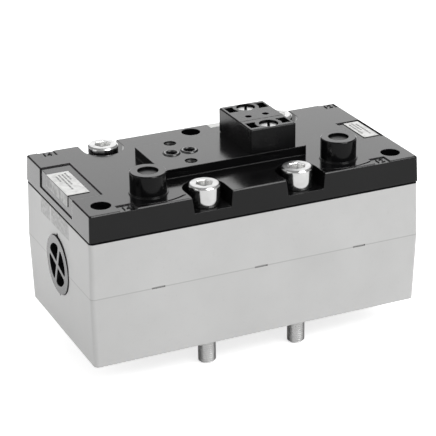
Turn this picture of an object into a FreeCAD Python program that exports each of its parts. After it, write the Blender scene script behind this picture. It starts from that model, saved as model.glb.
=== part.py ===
import FreeCAD, Part
import math
import os

from FreeCAD import Vector

# A pilot-operated five-port spool valve that is screwed on to a ported base plate.
# Millimetres, +Z up, X along the spool. The origin is under the middle of the body,
# level with the ends of the four mounting screws, which the valve stands on by itself.

# Cast body: two drafted halves that meet at the mould's parting line
PARTING_LENGTH = 157.8
PARTING_WIDTH = 81.3
PARTING_HEIGHT = 32.3
BODY_HEIGHT = 57.0
BODY_DRAFT = 1.5
BODY_CORNER = 2.0

# Parting marks on the long sides: short flats where the mould's slides met
MARK_PITCH = 48.4
MARK_LENGTH = 6.0
MARK_HEIGHT = 0.7
MARK_DEPTH = 0.35

# Moulded cover over the body, with the gasket between them
COVER_THICKNESS = 12.3
COVER_DRAFT = 2.3
COVER_CORNER = 0.8
COVER_EDGE = 0.5
GASKET_THICKNESS = 0.5
GASKET_INSET = 0.15

# Raised platform on the cover, which carries the two pilot interfaces
PLATFORM_LENGTH = 69.6
PLATFORM_WIDTH = 32.2
PLATFORM_HEIGHT = 4.2
PLATFORM_SHIFT = 0.5
PLATFORM_CORNER = 0.8

# Four mounting screws with hexagon sockets, in pockets that open through the cover's sides
SCREW_DIAMETER = 8.0
SCREW_LENGTH = 76.0
SCREW_THREAD_STEP = 0.15
SCREW_TIP = 1.2
SCREW_HEAD_DIAMETER = 13.9
SCREW_HEAD_HEIGHT = 9.3
SCREW_HEAD_EDGE = 0.8
HEX_KEY = 6.5
HEX_DEPTH = 4.5
HEX_RECESS = 0.3
SCREW_ROOM = 0.5
FRONT_SCREW_X = 22.1
FRONT_SCREW_INSET = 9.85
BACK_SCREW_X = 44.0
BACK_SCREW_INSET = 8.65
POCKET_DEPTH = 7.2
POCKET_RADIUS = 8.6
POCKET_DRAFT = 7.0

# Three cover screws, deep in round wells
COVER_SCREW_DIAMETER = 5.0
COVER_SCREW_LENGTH = 16.0
COVER_SCREW_HEAD_DIAMETER = 8.5
COVER_SCREW_HEAD_HEIGHT = 4.6
COVER_SCREW_KEY = 4.0
COVER_SCREW_KEY_DEPTH = 2.4
COVER_SCREW_WELL = 8.2
COVER_SCREW_END_INSET = 9.8
COVER_SCREW_FRONT_INSET = 10.35
COVER_SCREW_BACK_INSET = 7.35
COVER_SCREW_POINT = 3.75
WELL_ROOM = 0.1
THREAD_ROOM = 0.05

# Override towers with their buttons, return springs and seals
TOWER_X = 45.5
TOWER_INSET = 15.45
TOWER_DIAMETER = 16.0
TOWER_HEIGHT = 9.8
TOWER_EDGE = 0.4
TOWER_FOOT = 0.5
BUTTON_DIAMETER = 8.9
BUTTON_SINK = 1.1
BUTTON_HEAD = 4.8
BUTTON_COLLAR_DIAMETER = 10.8
BUTTON_COLLAR = 2.0
BUTTON_STEM_DIAMETER = 4.0
BUTTON_TRAVEL = 2.5
BUTTON_REACH = 1.9
BUTTON_ROOM = 0.08
BUTTON_STOP_GAP = 0.1
BUTTON_SEAL_WIDTH = 1.4
BUTTON_SEAL_DEPTH = 0.9
BUTTON_RIM = 1.2
SPRING_WIRE = 0.9
SPRING_DIAMETER = 9.0
SPRING_PITCH = 4.0
SPRING_STEPS = 20

# Curved guide line moulded in front of each tower
ARC_HALF_CHORD = 13.0
ARC_FRONT = 12.9
ARC_RISE = 3.6
ARC_WIDTH = 0.8
ARC_DEPTH = 0.4

# Pilot interface, the same on both halves of the platform: two ports in a row
# along X, and two threaded inserts in a row along Y
INTERFACE_X = 18.8
INTERFACE_Y = 2.0
INSERT_SPACING = 23.5
INSERT_DIAMETER = 5.6
INSERT_LENGTH = 7.0
INSERT_SINK = 0.6
PILOT_SCREW_DIAMETER = 4.0
PORT_SPACING = 8.5
PORT_DIAMETER = 4.0
PORT_SEAL_DIAMETER = 7.8
PORT_SEAL_BORE = 4.6
PORT_SEAL_HEIGHT = 1.8
PORT_SEAL_SEAT = 1.2
PORT_SEAL_ROOM = 0.05

# Adapter block on the right interface
ADAPTER_LENGTH = 22.2
ADAPTER_WIDTH = 33.2
ADAPTER_HEIGHT = 11.2
ADAPTER_EDGE = 0.5
ADAPTER_CORNER = 0.6
ADAPTER_WELL_DIAMETER = 8.6
ADAPTER_WELL_DEPTH = 3.8
ADAPTER_BOSS_RADIUS = 6.0
ADAPTER_WINDOW_WALL = 1.4
ADAPTER_WINDOW_INSIDE = 5.2
ADAPTER_WINDOW_OUT = 2.5
ADAPTER_WINDOW_IN = 3.9
ADAPTER_WINDOW_DEPTH = 7.5
ADAPTER_PORT_DIAMETER = 3.0
ADAPTER_LINE_Y = -5.0
ADAPTER_LINE_WIDTH = 0.35
ADAPTER_LINE_DEPTH = 0.2
SLOTTED_HEAD_DIAMETER = 7.6
SLOTTED_HEAD_HEIGHT = 2.8
SLOT_WIDTH = 1.2
SLOT_DEPTH = 1.3
SLOT_TURN = -25.6
SLOTTED_SCREW_REACH = 5.0

# Spool bore and its five chambers
CHAMBER_PITCH = 18.0
CHAMBER_WIDTH = 12.0
CHAMBER_DIAMETER = 26.0
SPOOL_DIAMETER = 18.0
SPOOL_ROOM = 0.05
SPOOL_FLANGE_STEP = 0.25
SPOOL_FLANGE = 4.8
SPOOL_NECK = 11.0
SPOOL_STROKE = 10.0
SPOOL_SEAL_WIDTH = 2.4
SPOOL_SEAL_DEPTH = 2.0
SPOOL_STOP_GAP = 0.3

# End caps, locked by two lugs in a groove of the body
CAP_DIAMETER = 26.8
CAP_ROOM = 0.2
CAP_PROUD = 0.4
CAP_LENGTH = 14.3
CAP_STEM_DIAMETER = 10.0
CAP_STEM_LENGTH = 6.3
CAP_WINDOW_DIAMETER = 19.6
CAP_WEB = 2.0
CAP_WEB_ANGLE = -20.0
CAP_WINDOW_DEPTH = 6.5
CAP_WINDOW_CORNER = 1.2
LUG_REACH = 1.7
LUG_ROOT = 1.0
LUG_WIDTH = 3.8
LUG_THICKNESS = 2.8
LUG_DEPTH = 3.4
LUG_ROOM = 0.2
CAP_SEAL_WIDTH = 2.6
CAP_SEAL_DEPTH = 1.8
CAP_SEAL_OFFSET = 3.0

# Ports and pilot passages in the base face
PORT_SLOT_LENGTH = 11.0
PORT_SLOT_WIDTH = 22.0
PORT_ROW = 7.0
PILOT_DIAMETER = 4.0
PILOT_X = 62.0
PILOT_SUPPLY_INSET = 3.5
CHANNEL_WIDTH = 3.2
CHANNEL_DEPTH = 2.4

# Flat moulded seal in a recess of the base face
BASE_SEAL_LENGTH = 134.0
BASE_SEAL_WIDTH = 51.0
BASE_SEAL_THICKNESS = 1.6
BASE_SEAL_RECESS = 1.2
BASE_SEAL_CORNER = 5.0
BASE_SEAL_ROOM = 0.2
SEAL_WINDOW_MARGIN = 0.6

# Labels and number places sunk in the cover
LABEL_THICKNESS = 0.3
LABEL_SINK = 0.55
FLAP_SINK = 0.5
LEFT_PLACE = (15.0, -19.1, 21.4)
LEFT_LABEL = (11.4, -13.0, 13.3)
RIGHT_PLACE = (13.9, -10.3, 13.2)
RIGHT_LABEL = (10.4, -7.8, 12.2)
LEFT_PLACE_DROP = 8.8
LEFT_LABEL_DROP = 5.6
RIGHT_LABEL_GAP = 1.2
LABEL_RIM = 0.1
BACK_LABEL = (10.6, 32.0, 6.45)
NUMBER_LENGTH = 7.7
NUMBER_WIDTH = 6.3
NUMBER_SINK = 0.5
NUMBER_FRONT_INSET = 18.7
NUMBER_BACK_LEFT_INSET = 9.9
NUMBER_BACK_RIGHT_INSET = 5.6

# Levels and places that follow from the sizes above
POCKET_FLOOR_ABOVE_BASE = BODY_HEIGHT + GASKET_THICKNESS + COVER_THICKNESS - POCKET_DEPTH
BASE_Z = SCREW_LENGTH - POCKET_FLOOR_ABOVE_BASE
AXIS_Z = BASE_Z + PARTING_HEIGHT
BODY_TOP = BASE_Z + BODY_HEIGHT
COVER_BOTTOM = BODY_TOP + GASKET_THICKNESS
COVER_TOP = COVER_BOTTOM + COVER_THICKNESS
POCKET_FLOOR = COVER_TOP - POCKET_DEPTH
PLATFORM_TOP = COVER_TOP + PLATFORM_HEIGHT
TOWER_TOP = COVER_TOP + TOWER_HEIGHT
BODY_SLOPE = math.tan(math.radians(BODY_DRAFT))
COVER_SLOPE = math.tan(math.radians(COVER_DRAFT))
BASE_INSET = PARTING_HEIGHT * BODY_SLOPE
TOP_INSET = (BODY_HEIGHT - PARTING_HEIGHT) * BODY_SLOPE
COVER_LENGTH = PARTING_LENGTH - 2 * TOP_INSET
COVER_WIDTH = PARTING_WIDTH - 2 * TOP_INSET
END_FACE = PARTING_LENGTH / 2
SIDE_FACE = PARTING_WIDTH / 2
TOP_END = COVER_LENGTH / 2 - COVER_THICKNESS * COVER_SLOPE - COVER_EDGE
TOP_SIDE = COVER_WIDTH / 2 - COVER_THICKNESS * COVER_SLOPE - COVER_EDGE
FRONT_SCREW_Y = FRONT_SCREW_INSET - SIDE_FACE
BACK_SCREW_Y = SIDE_FACE - BACK_SCREW_INSET
COVER_SCREW_FRONT_Y = COVER_SCREW_FRONT_INSET - SIDE_FACE
COVER_SCREW_BACK_Y = SIDE_FACE - COVER_SCREW_BACK_INSET
COVER_SCREW_END_X = END_FACE - COVER_SCREW_END_INSET
TOWER_Y = TOWER_INSET - SIDE_FACE
PILOT_SUPPLY_Y = BASE_SEAL_WIDTH / 2 - PILOT_SUPPLY_INSET
CAP_FACE = END_FACE + CAP_PROUD
CAP_SHOULDER = CAP_FACE - CAP_LENGTH
SPOOL_BORE = SPOOL_DIAMETER + 2 * SPOOL_ROOM
SPOOL_REACH = CAP_SHOULDER - CAP_STEM_LENGTH - SPOOL_STOP_GAP
SPOOL_END_SEAL = SPOOL_REACH - SPOOL_STROKE / 2 - SPOOL_FLANGE / 2
STEP_Z = TOWER_TOP - BUTTON_SINK - BUTTON_HEAD
STEM_LENGTH = STEP_Z - BODY_TOP - BUTTON_TRAVEL - BUTTON_REACH
BUTTON_SEAL_LOW = BUTTON_HEAD - BUTTON_SEAL_WIDTH - BUTTON_RIM
CLEARANCE_HOLE = SCREW_DIAMETER + 2 * SCREW_ROOM
HEX_CORNERS = 6
PAST = 1.0


def box(x_range, y_range, z_range):
    """A block between three pairs of coordinates."""
    size = [pair[1] - pair[0] for pair in (x_range, y_range, z_range)]
    return Part.makeBox(*size, Vector(x_range[0], y_range[0], z_range[0]))


def disc(diameter, x, y, z_low, z_high):
    """An upright cylinder."""
    return Part.makeCylinder(diameter / 2, z_high - z_low, Vector(x, y, z_low))


def rod(diameter, x_low, x_high):
    """A cylinder on the spool's axis."""
    return Part.makeCylinder(diameter / 2, x_high - x_low, Vector(x_low, 0, AXIS_Z), Vector(1, 0, 0))


def fused(shapes):
    """One solid from several that meet, with no seams left between faces in one plane."""
    return shapes[0].multiFuse(shapes[1:]).removeSplitter()


def cut_away(shape, tools):
    """The shape without any of the tools."""
    return shape.cut(Part.makeCompound(tools))


def revolved(outline, centre):
    """The solid of a closed outline of (radius, height) points turned about an upright axis."""
    points = [centre + Vector(radius, 0, height) for radius, height in outline]
    face = Part.Face(Part.makePolygon(points + points[:1]))
    return face.revolve(centre, Vector(0, 0, 1), 360)


def rounded_outline(length, width, corner, z, centre_y=0.0):
    """A rectangle with round corners at a given height."""
    x, y = length / 2, width / 2
    slant = corner * math.sqrt(0.5)
    edges = []
    for turn in range(4):
        ahead = (x, y) if turn % 2 == 0 else (y, x)
        start = Vector(ahead[0], -ahead[1] + corner, z)
        end = Vector(ahead[0], ahead[1] - corner, z)
        pivot = Vector(ahead[0] - corner, ahead[1] - corner, z)
        middle = pivot + Vector(slant, slant, 0)
        side = [Part.makeLine(start, end)]
        side.append(Part.Arc(end, middle, pivot + Vector(0, corner, 0)).toShape())
        for edge in side:
            edge.rotate(Vector(0, 0, 0), Vector(0, 0, 1), 90 * turn)
            edge.translate(Vector(0, centre_y, 0))
            edges.append(edge)
    return Part.Wire(edges)


def rounded_block(length, width, corner, z_low, z_high, centre=(0.0, 0.0)):
    """An upright block with round corners."""
    face = Part.Face(rounded_outline(length, width, corner, z_low))
    face.translate(Vector(centre[0], centre[1], 0))
    return face.extrude(Vector(0, 0, z_high - z_low))


def hexagon(across_flats, x, y, z_low, z_high):
    """A hexagonal prism with two of its corners on the X axis."""
    radius = across_flats / math.sqrt(3)
    angles = [2 * math.pi * corner / HEX_CORNERS for corner in range(HEX_CORNERS)]
    points = [Vector(x + radius * math.cos(a), y + radius * math.sin(a), z_low) for a in angles]
    face = Part.Face(Part.makePolygon(points + points[:1]))
    return face.extrude(Vector(0, 0, z_high - z_low))


def mounting_places():
    """The four mounting screws' places, with the side that each pocket opens to."""
    front = [(side * FRONT_SCREW_X, FRONT_SCREW_Y, -1) for side in (-1, 1)]
    back = [(side * BACK_SCREW_X, BACK_SCREW_Y, 1) for side in (-1, 1)]
    return front + back


def cover_screw_places():
    """The three cover screws' places."""
    sides = [(side * COVER_SCREW_END_X, COVER_SCREW_FRONT_Y) for side in (-1, 1)]
    return sides + [(0.0, COVER_SCREW_BACK_Y)]


def chamber_places():
    """The five chambers' middles along the spool, with the row of the port below each."""
    rows = (-PORT_ROW, PORT_ROW, -PORT_ROW, PORT_ROW, -PORT_ROW)
    return [(index * CHAMBER_PITCH, row) for index, row in zip(range(-2, 3), rows)]


def insert_places(side):
    """The two insert places of one interface."""
    return [(side * INTERFACE_X, INTERFACE_Y + step * INSERT_SPACING / 2) for step in (-1, 1)]


def port_places(side):
    """The two ports of one interface, the inner one first."""
    return [(side * (INTERFACE_X - step * PORT_SPACING / 2), INTERFACE_Y) for step in (1, -1)]


def body_blank():
    """The cast block, drafted both ways from the parting line."""
    base_length = PARTING_LENGTH - 2 * BASE_INSET
    base_width = PARTING_WIDTH - 2 * BASE_INSET
    base = rounded_outline(base_length, base_width, BODY_CORNER, BASE_Z)
    parting = rounded_outline(PARTING_LENGTH, PARTING_WIDTH, BODY_CORNER, AXIS_Z)
    top = rounded_outline(COVER_LENGTH, COVER_WIDTH, BODY_CORNER, BODY_TOP)
    return Part.makeLoft([base, parting, top], True, True)


def spool_passage():
    """The bore for the spool with its chambers, the cap seats and the lugs' grooves."""
    parts = [rod(SPOOL_BORE, -CAP_SHOULDER - PAST, CAP_SHOULDER + PAST)]
    for middle, _row in chamber_places():
        parts.append(rod(CHAMBER_DIAMETER, middle - CHAMBER_WIDTH / 2, middle + CHAMBER_WIDTH / 2))
    seat = CAP_DIAMETER + 2 * CAP_ROOM
    groove = CAP_DIAMETER + 2 * (LUG_REACH + LUG_ROOM)
    for side in (-1, 1):
        parts.append(rod(seat, *sorted((side * CAP_SHOULDER, side * (CAP_FACE + PAST)))))
        inner = CAP_FACE - LUG_DEPTH - LUG_THICKNESS - LUG_ROOM
        parts.append(rod(groove, *sorted((side * inner, side * (CAP_FACE - LUG_DEPTH + LUG_ROOM)))))
        parts += [lug(side, up, LUG_ROOM, inner, CAP_FACE + PAST) for up in (-1, 1)]
    return parts


def lug(side, up, room, inner, outer):
    """A pointed lug at the top or bottom of a cap, or with room round it, the way in for one."""
    root = AXIS_Z + up * (CAP_DIAMETER / 2 - LUG_ROOT)
    tip = AXIS_Z + up * (CAP_DIAMETER / 2 + LUG_REACH + room)
    half = LUG_WIDTH / 2 + room
    x = side * inner
    points = [Vector(x, -half, root), Vector(x, half, root), Vector(x, 0, tip)]
    face = Part.Face(Part.makePolygon(points + points[:1]))
    return face.extrude(Vector(side * (outer - inner), 0, 0))


def port_slot(middle, row, margin, z_low, z_high):
    """An upright slot with round ends, for a port or for the window round it."""
    radius = PORT_SLOT_LENGTH / 2 + margin
    half = PORT_SLOT_WIDTH / 2 - PORT_SLOT_LENGTH / 2
    left, right = Vector(middle - radius, row, z_low), Vector(middle + radius, row, z_low)
    ahead = Vector(0, half, 0)
    tip = Vector(middle, row + half + radius, z_low)
    toe = Vector(middle, row - half - radius, z_low)
    edges = [Part.makeLine(right - ahead, right + ahead),
             Part.Arc(right + ahead, tip, left + ahead).toShape(),
             Part.makeLine(left + ahead, left - ahead),
             Part.Arc(left - ahead, toe, right - ahead).toShape()]
    return Part.Face(Part.Wire(edges)).extrude(Vector(0, 0, z_high - z_low))


def pilot_places():
    """The two pilot supply holes, then the two control holes over the spool's ends."""
    supply = [(side * PILOT_X, PILOT_SUPPLY_Y) for side in (-1, 1)]
    return supply, [(side * PILOT_X, 0.0) for side in (-1, 1)]


def parting_marks():
    """Short shallow flats on the parting line of both long sides."""
    marks = []
    for side in (-1, 1):
        outer = side * PARTING_WIDTH / 2
        for step in (-1, 0, 1):
            x = step * MARK_PITCH
            marks.append(box((x - MARK_LENGTH / 2, x + MARK_LENGTH / 2),
                             sorted((outer - side * MARK_DEPTH, outer + side * PAST)),
                             (AXIS_Z - MARK_HEIGHT / 2, AXIS_Z + MARK_HEIGHT / 2)))
    return marks


def body():
    """The cast housing with every bore, port and passage."""
    tools = spool_passage() + parting_marks()
    for middle, row in chamber_places():
        tools.append(port_slot(middle, row, 0.0, BASE_Z - PAST, AXIS_Z))
    supply, control = pilot_places()
    tools += [disc(PILOT_DIAMETER, x, y, BASE_Z - PAST, BODY_TOP + PAST) for x, y in supply]
    tools += [disc(PILOT_DIAMETER, x, y, AXIS_Z, BODY_TOP + PAST) for x, y in control]
    holes = mounting_places()
    tools += [disc(CLEARANCE_HOLE, x, y, BASE_Z - PAST, BODY_TOP + PAST) for x, y, _side in holes]
    bottom = COVER_TOP - COVER_SCREW_WELL - COVER_SCREW_LENGTH - COVER_SCREW_POINT
    thread = COVER_SCREW_DIAMETER + 2 * THREAD_ROOM
    tools += [disc(thread, x, y, bottom, BODY_TOP + PAST) for x, y in cover_screw_places()]
    recess_length = BASE_SEAL_LENGTH + 2 * BASE_SEAL_ROOM
    recess_width = BASE_SEAL_WIDTH + 2 * BASE_SEAL_ROOM
    tools.append(rounded_block(recess_length, recess_width, BASE_SEAL_CORNER, BASE_Z - PAST,
                               BASE_Z + BASE_SEAL_RECESS))
    return cut_away(body_blank(), tools)


def base_seal():
    """The flat seal under the body, with a window round each port."""
    bottom = BASE_Z + BASE_SEAL_RECESS - BASE_SEAL_THICKNESS
    top = BASE_Z + BASE_SEAL_RECESS
    plate = rounded_block(BASE_SEAL_LENGTH, BASE_SEAL_WIDTH, BASE_SEAL_CORNER, bottom, top)
    tools = []
    for middle, row in chamber_places():
        tools.append(port_slot(middle, row, SEAL_WINDOW_MARGIN, bottom - PAST, top + PAST))
    supply, _control = pilot_places()
    window = PILOT_DIAMETER + 2 * SEAL_WINDOW_MARGIN
    tools += [disc(window, x, y, bottom - PAST, top + PAST) for x, y in supply]
    return cut_away(plate, tools)


def cover_gasket():
    """The thin gasket between body and cover, cut out where screws, air and springs pass."""
    sheet = rounded_block(COVER_LENGTH - 2 * GASKET_INSET, COVER_WIDTH - 2 * GASKET_INSET,
                          BODY_CORNER, BODY_TOP, COVER_BOTTOM)
    low, high = BODY_TOP - PAST, COVER_BOTTOM + PAST
    supply, control = pilot_places()
    screw_hole = COVER_SCREW_DIAMETER + SCREW_ROOM
    tools = [disc(PILOT_DIAMETER, x, y, low, high) for x, y in supply + control]
    tools += [disc(CLEARANCE_HOLE, x, y, low, high) for x, y, _side in mounting_places()]
    tools += [disc(screw_hole, x, y, low, high) for x, y in cover_screw_places()]
    tools += [disc(button_cavity(), side * TOWER_X, TOWER_Y, low, high) for side in (-1, 1)]
    return cut_away(sheet, tools)


def button_cavity():
    """The width of the round hollow under each tower."""
    return BUTTON_COLLAR_DIAMETER + 2 * BUTTON_ROOM


def cover_blank():
    """The drafted slab of the cover with its small edge chamfers."""
    levels = [(COVER_BOTTOM, COVER_EDGE), (COVER_BOTTOM + COVER_EDGE, 0.0),
              (COVER_TOP - COVER_EDGE, 0.0), (COVER_TOP, COVER_EDGE)]
    wires = []
    for z, edge in levels:
        inset = (z - COVER_BOTTOM) * COVER_SLOPE + edge
        wires.append(rounded_outline(COVER_LENGTH - 2 * inset, COVER_WIDTH - 2 * inset, COVER_CORNER, z))
    return Part.makeLoft(wires, True, True)


def tower(side):
    """One override tower: a foot ring, the round wall and its chamfered rim."""
    radius = TOWER_DIAMETER / 2
    outline = [(0, -PAST), (radius + TOWER_FOOT, -PAST), (radius + TOWER_FOOT, TOWER_FOOT),
               (radius, TOWER_FOOT), (radius, TOWER_HEIGHT - TOWER_EDGE),
               (radius - TOWER_EDGE, TOWER_HEIGHT), (0, TOWER_HEIGHT)]
    return revolved(outline, Vector(side * TOWER_X, TOWER_Y, COVER_TOP))


def screw_pocket(x, y, side):
    """A pocket round a mounting screw's head, open through the cover's side."""
    reach = COVER_WIDTH
    wires = []
    slope = math.tan(math.radians(POCKET_DRAFT))
    for z in (POCKET_FLOOR, COVER_TOP + PAST):
        radius = POCKET_RADIUS + (z - POCKET_FLOOR) * slope
        left, right = Vector(x - radius, y, z), Vector(x + radius, y, z)
        away = Vector(0, side * reach, 0)
        edges = [Part.Arc(left, Vector(x, y - side * radius, z), right).toShape(),
                 Part.makeLine(right, right + away),
                 Part.makeLine(right + away, left + away),
                 Part.makeLine(left + away, left)]
        wires.append(Part.Wire(edges))
    return Part.makeLoft(wires, True, True)


def guide_arc(side):
    """The shallow curved line in front of a tower."""
    radius = (ARC_HALF_CHORD ** 2 + ARC_RISE ** 2) / (2 * ARC_RISE)
    x = side * TOWER_X
    y = TOWER_Y - ARC_FRONT + radius
    low = COVER_TOP - ARC_DEPTH
    ring = disc(2 * radius + ARC_WIDTH, x, y, low, COVER_TOP + PAST)
    ring = ring.cut(disc(2 * radius - ARC_WIDTH, x, y, low, COVER_TOP + PAST))
    ends = TOWER_Y - ARC_FRONT + ARC_RISE
    return ring.common(box((x - ARC_HALF_CHORD, x + ARC_HALF_CHORD), (ends - COVER_WIDTH, ends),
                           (low, COVER_TOP + PAST)))


def number_places():
    """Four shallow places for numbers, open at the front or back edge."""
    low, high = COVER_TOP - NUMBER_SINK, COVER_TOP + PAST
    edge = COVER_WIDTH / 2
    inner = edge - COVER_EDGE - NUMBER_WIDTH
    places = [(NUMBER_FRONT_INSET - END_FACE, -1), (END_FACE - NUMBER_FRONT_INSET, -1),
              (NUMBER_BACK_LEFT_INSET - END_FACE, 1), (END_FACE - NUMBER_BACK_RIGHT_INSET, 1)]
    half = NUMBER_LENGTH / 2
    return [box((x - half, x + half), sorted((side * inner, side * edge)), (low, high))
            for x, side in places]


def leaned(depths, y_range, z_range):
    """A block in the cover's left side, between two depths below the drafted face."""
    edge = -TOP_END - COVER_EDGE
    slab = box([edge + depth for depth in depths], y_range, z_range)
    slab.rotate(Vector(edge, 0, COVER_TOP), Vector(0, 1, 0), COVER_DRAFT)
    return slab


def label_places():
    """Sunk places for the three labels; the left one runs over the cover's end."""
    low, high = COVER_TOP - LABEL_SINK, COVER_TOP + PAST
    inset, front, back = LEFT_PLACE
    end = -END_FACE - PAST
    places = [box((end, inset - END_FACE), (front, back), (low, high))]
    places.append(leaned((-PAST, FLAP_SINK), (front, back), (COVER_TOP - LEFT_PLACE_DROP, high)))
    inset, front, back = RIGHT_PLACE
    places.append(box((END_FACE - inset, TOP_END - LABEL_RIM), (front, back), (low, high)))
    back_low, back_high, inset = BACK_LABEL
    places.append(box((back_low, back_high), (SIDE_FACE - inset, SIDE_FACE + PAST),
                      (COVER_TOP - LABEL_THICKNESS, high)))
    return places


def interface_tools(side):
    """The holes of one pilot interface, from the platform down to the channels."""
    tools = []
    for x, y in insert_places(side):
        bottom = PLATFORM_TOP - INSERT_SINK - INSERT_LENGTH
        tools.append(disc(INSERT_DIAMETER, x, y, bottom, PLATFORM_TOP + PAST))
    seat = PORT_SEAL_DIAMETER + 2 * PORT_SEAL_ROOM
    for x, y in port_places(side):
        tools.append(disc(PORT_DIAMETER, x, y, COVER_BOTTOM, PLATFORM_TOP + PAST))
        tools.append(disc(seat, x, y, PLATFORM_TOP - PORT_SEAL_SEAT, PLATFORM_TOP + PAST))
    return tools


def channel(start, end):
    """A straight channel in the cover's underside, with round ends."""
    top = COVER_BOTTOM + CHANNEL_DEPTH
    along = Vector(end[0] - start[0], end[1] - start[1], 0)
    half = CHANNEL_WIDTH / 2
    bar = Part.makeBox(along.Length, CHANNEL_WIDTH, top - COVER_BOTTOM + PAST, Vector(0, -half, 0))
    bar.rotate(Vector(0, 0, 0), Vector(0, 0, 1), math.degrees(math.atan2(along.y, along.x)))
    bar.translate(Vector(start[0], start[1], COVER_BOTTOM - PAST))
    ends = [disc(CHANNEL_WIDTH, x, y, COVER_BOTTOM - PAST, top) for x, y in (start, end)]
    return fused([bar] + ends)


def channels(side):
    """The supply channel, which turns a corner, and the straight control channel of one side."""
    inner, outer = port_places(side)
    supply = (side * PILOT_X, PILOT_SUPPLY_Y)
    corner = (inner[0], PILOT_SUPPLY_Y)
    control = (side * PILOT_X, 0.0)
    return [channel(supply, corner), channel(corner, inner), channel(control, outer)]


def tower_bore(side):
    """The button's bore and the wider hollow below it, open to the underside."""
    x = side * TOWER_X
    bore = disc(BUTTON_DIAMETER + 2 * BUTTON_ROOM, x, TOWER_Y, STEP_Z, TOWER_TOP + PAST)
    hollow = disc(button_cavity(), x, TOWER_Y, COVER_BOTTOM - PAST, STEP_Z + BUTTON_STOP_GAP)
    return [bore, hollow]


def cover():
    """The moulded cover with its platform, towers, pockets, wells, channels and sunk places."""
    platform = rounded_block(PLATFORM_LENGTH, PLATFORM_WIDTH, PLATFORM_CORNER,
                             COVER_TOP - PAST, PLATFORM_TOP, (0.0, PLATFORM_SHIFT))
    slab = cut_away(cover_blank(), [screw_pocket(*place) for place in mounting_places()])
    solid = fused([slab, platform] + [tower(side) for side in (-1, 1)])
    tools = number_places() + label_places()
    for side in (-1, 1):
        tools += interface_tools(side) + channels(side) + tower_bore(side) + [guide_arc(side)]
    low, high = COVER_BOTTOM - PAST, POCKET_FLOOR + PAST
    tools += [disc(CLEARANCE_HOLE, x, y, low, high) for x, y, _side in mounting_places()]
    well = COVER_SCREW_HEAD_DIAMETER + 2 * WELL_ROOM
    for x, y in cover_screw_places():
        tools.append(disc(well, x, y, COVER_TOP - COVER_SCREW_WELL, COVER_TOP + PAST))
        tools.append(disc(COVER_SCREW_DIAMETER + SCREW_ROOM, x, y, COVER_BOTTOM - PAST, COVER_TOP))
    return cut_away(solid, tools)


def mounting_screw(x, y):
    """A socket-head screw, head up; its slightly thinner threaded end is what stands out below."""
    radius = SCREW_DIAMETER / 2
    root = radius - SCREW_THREAD_STEP
    head = SCREW_HEAD_DIAMETER / 2
    thread = BASE_Z - POCKET_FLOOR
    outline = [(0, -SCREW_LENGTH), (root - SCREW_TIP, -SCREW_LENGTH), (root, SCREW_TIP - SCREW_LENGTH),
               (root, thread), (radius, thread),
               (radius, 0), (head, 0), (head, SCREW_HEAD_HEIGHT - SCREW_HEAD_EDGE),
               (head - SCREW_HEAD_EDGE, SCREW_HEAD_HEIGHT), (0, SCREW_HEAD_HEIGHT)]
    screw = revolved(outline, Vector(x, y, POCKET_FLOOR))
    top = POCKET_FLOOR + SCREW_HEAD_HEIGHT
    socket = hexagon(HEX_KEY, x, y, top - HEX_DEPTH, top + PAST)
    rim = HEX_KEY / math.sqrt(3) + HEX_RECESS
    recess = Part.makeCone(rim, rim + HEX_RECESS, HEX_RECESS, Vector(x, y, top - HEX_RECESS))
    return cut_away(screw, [socket, recess])


def mounting_screws():
    """The four mounting screws as separate solids."""
    return Part.makeCompound([mounting_screw(x, y) for x, y, _side in mounting_places()])


def cover_screw(x, y):
    """A small socket-head screw at the bottom of its well."""
    seat = COVER_TOP - COVER_SCREW_WELL
    top = seat + COVER_SCREW_HEAD_HEIGHT
    head = disc(COVER_SCREW_HEAD_DIAMETER, x, y, seat, top)
    shank = disc(COVER_SCREW_DIAMETER, x, y, seat - COVER_SCREW_LENGTH, seat)
    socket = hexagon(COVER_SCREW_KEY, x, y, top - COVER_SCREW_KEY_DEPTH, top + PAST)
    return fused([head, shank]).cut(socket)


def cover_screws():
    """The three cover screws as separate solids."""
    return Part.makeCompound([cover_screw(x, y) for x, y in cover_screw_places()])


def threaded_insert(x, y):
    """A plain steel bush pressed into the cover."""
    top = PLATFORM_TOP - INSERT_SINK
    bush = disc(INSERT_DIAMETER, x, y, top - INSERT_LENGTH, top)
    return bush.cut(disc(PILOT_SCREW_DIAMETER + 2 * THREAD_ROOM, x, y, top - INSERT_LENGTH, top))


def threaded_inserts():
    """The inserts of both interfaces as separate solids."""
    places = insert_places(-1) + insert_places(1)
    return Part.makeCompound([threaded_insert(x, y) for x, y in places])


def port_seal(x, y, height):
    """A round seal in its seat on the platform."""
    low = PLATFORM_TOP - PORT_SEAL_SEAT
    ring = disc(PORT_SEAL_DIAMETER, x, y, low, low + height)
    return ring.cut(disc(PORT_SEAL_BORE, x, y, low, low + height))


def adapter_window(across, along):
    """One dark window of the adapter, in the corner outside a screw boss."""
    x0 = INTERFACE_X + across * ADAPTER_WINDOW_INSIDE
    x1 = INTERFACE_X + across * (ADAPTER_LENGTH / 2 - ADAPTER_WINDOW_WALL)
    screw_y = INTERFACE_Y + along * INSERT_SPACING / 2
    y_range = sorted((screw_y + along * ADAPTER_WINDOW_OUT, screw_y - along * ADAPTER_WINDOW_IN))
    top = PLATFORM_TOP + ADAPTER_HEIGHT
    low = top - ADAPTER_WINDOW_DEPTH
    window = box(sorted((x0, x1)), y_range, (low, top + PAST))
    return window.cut(disc(2 * ADAPTER_BOSS_RADIUS, INTERFACE_X, screw_y, low, top + PAST))


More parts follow.
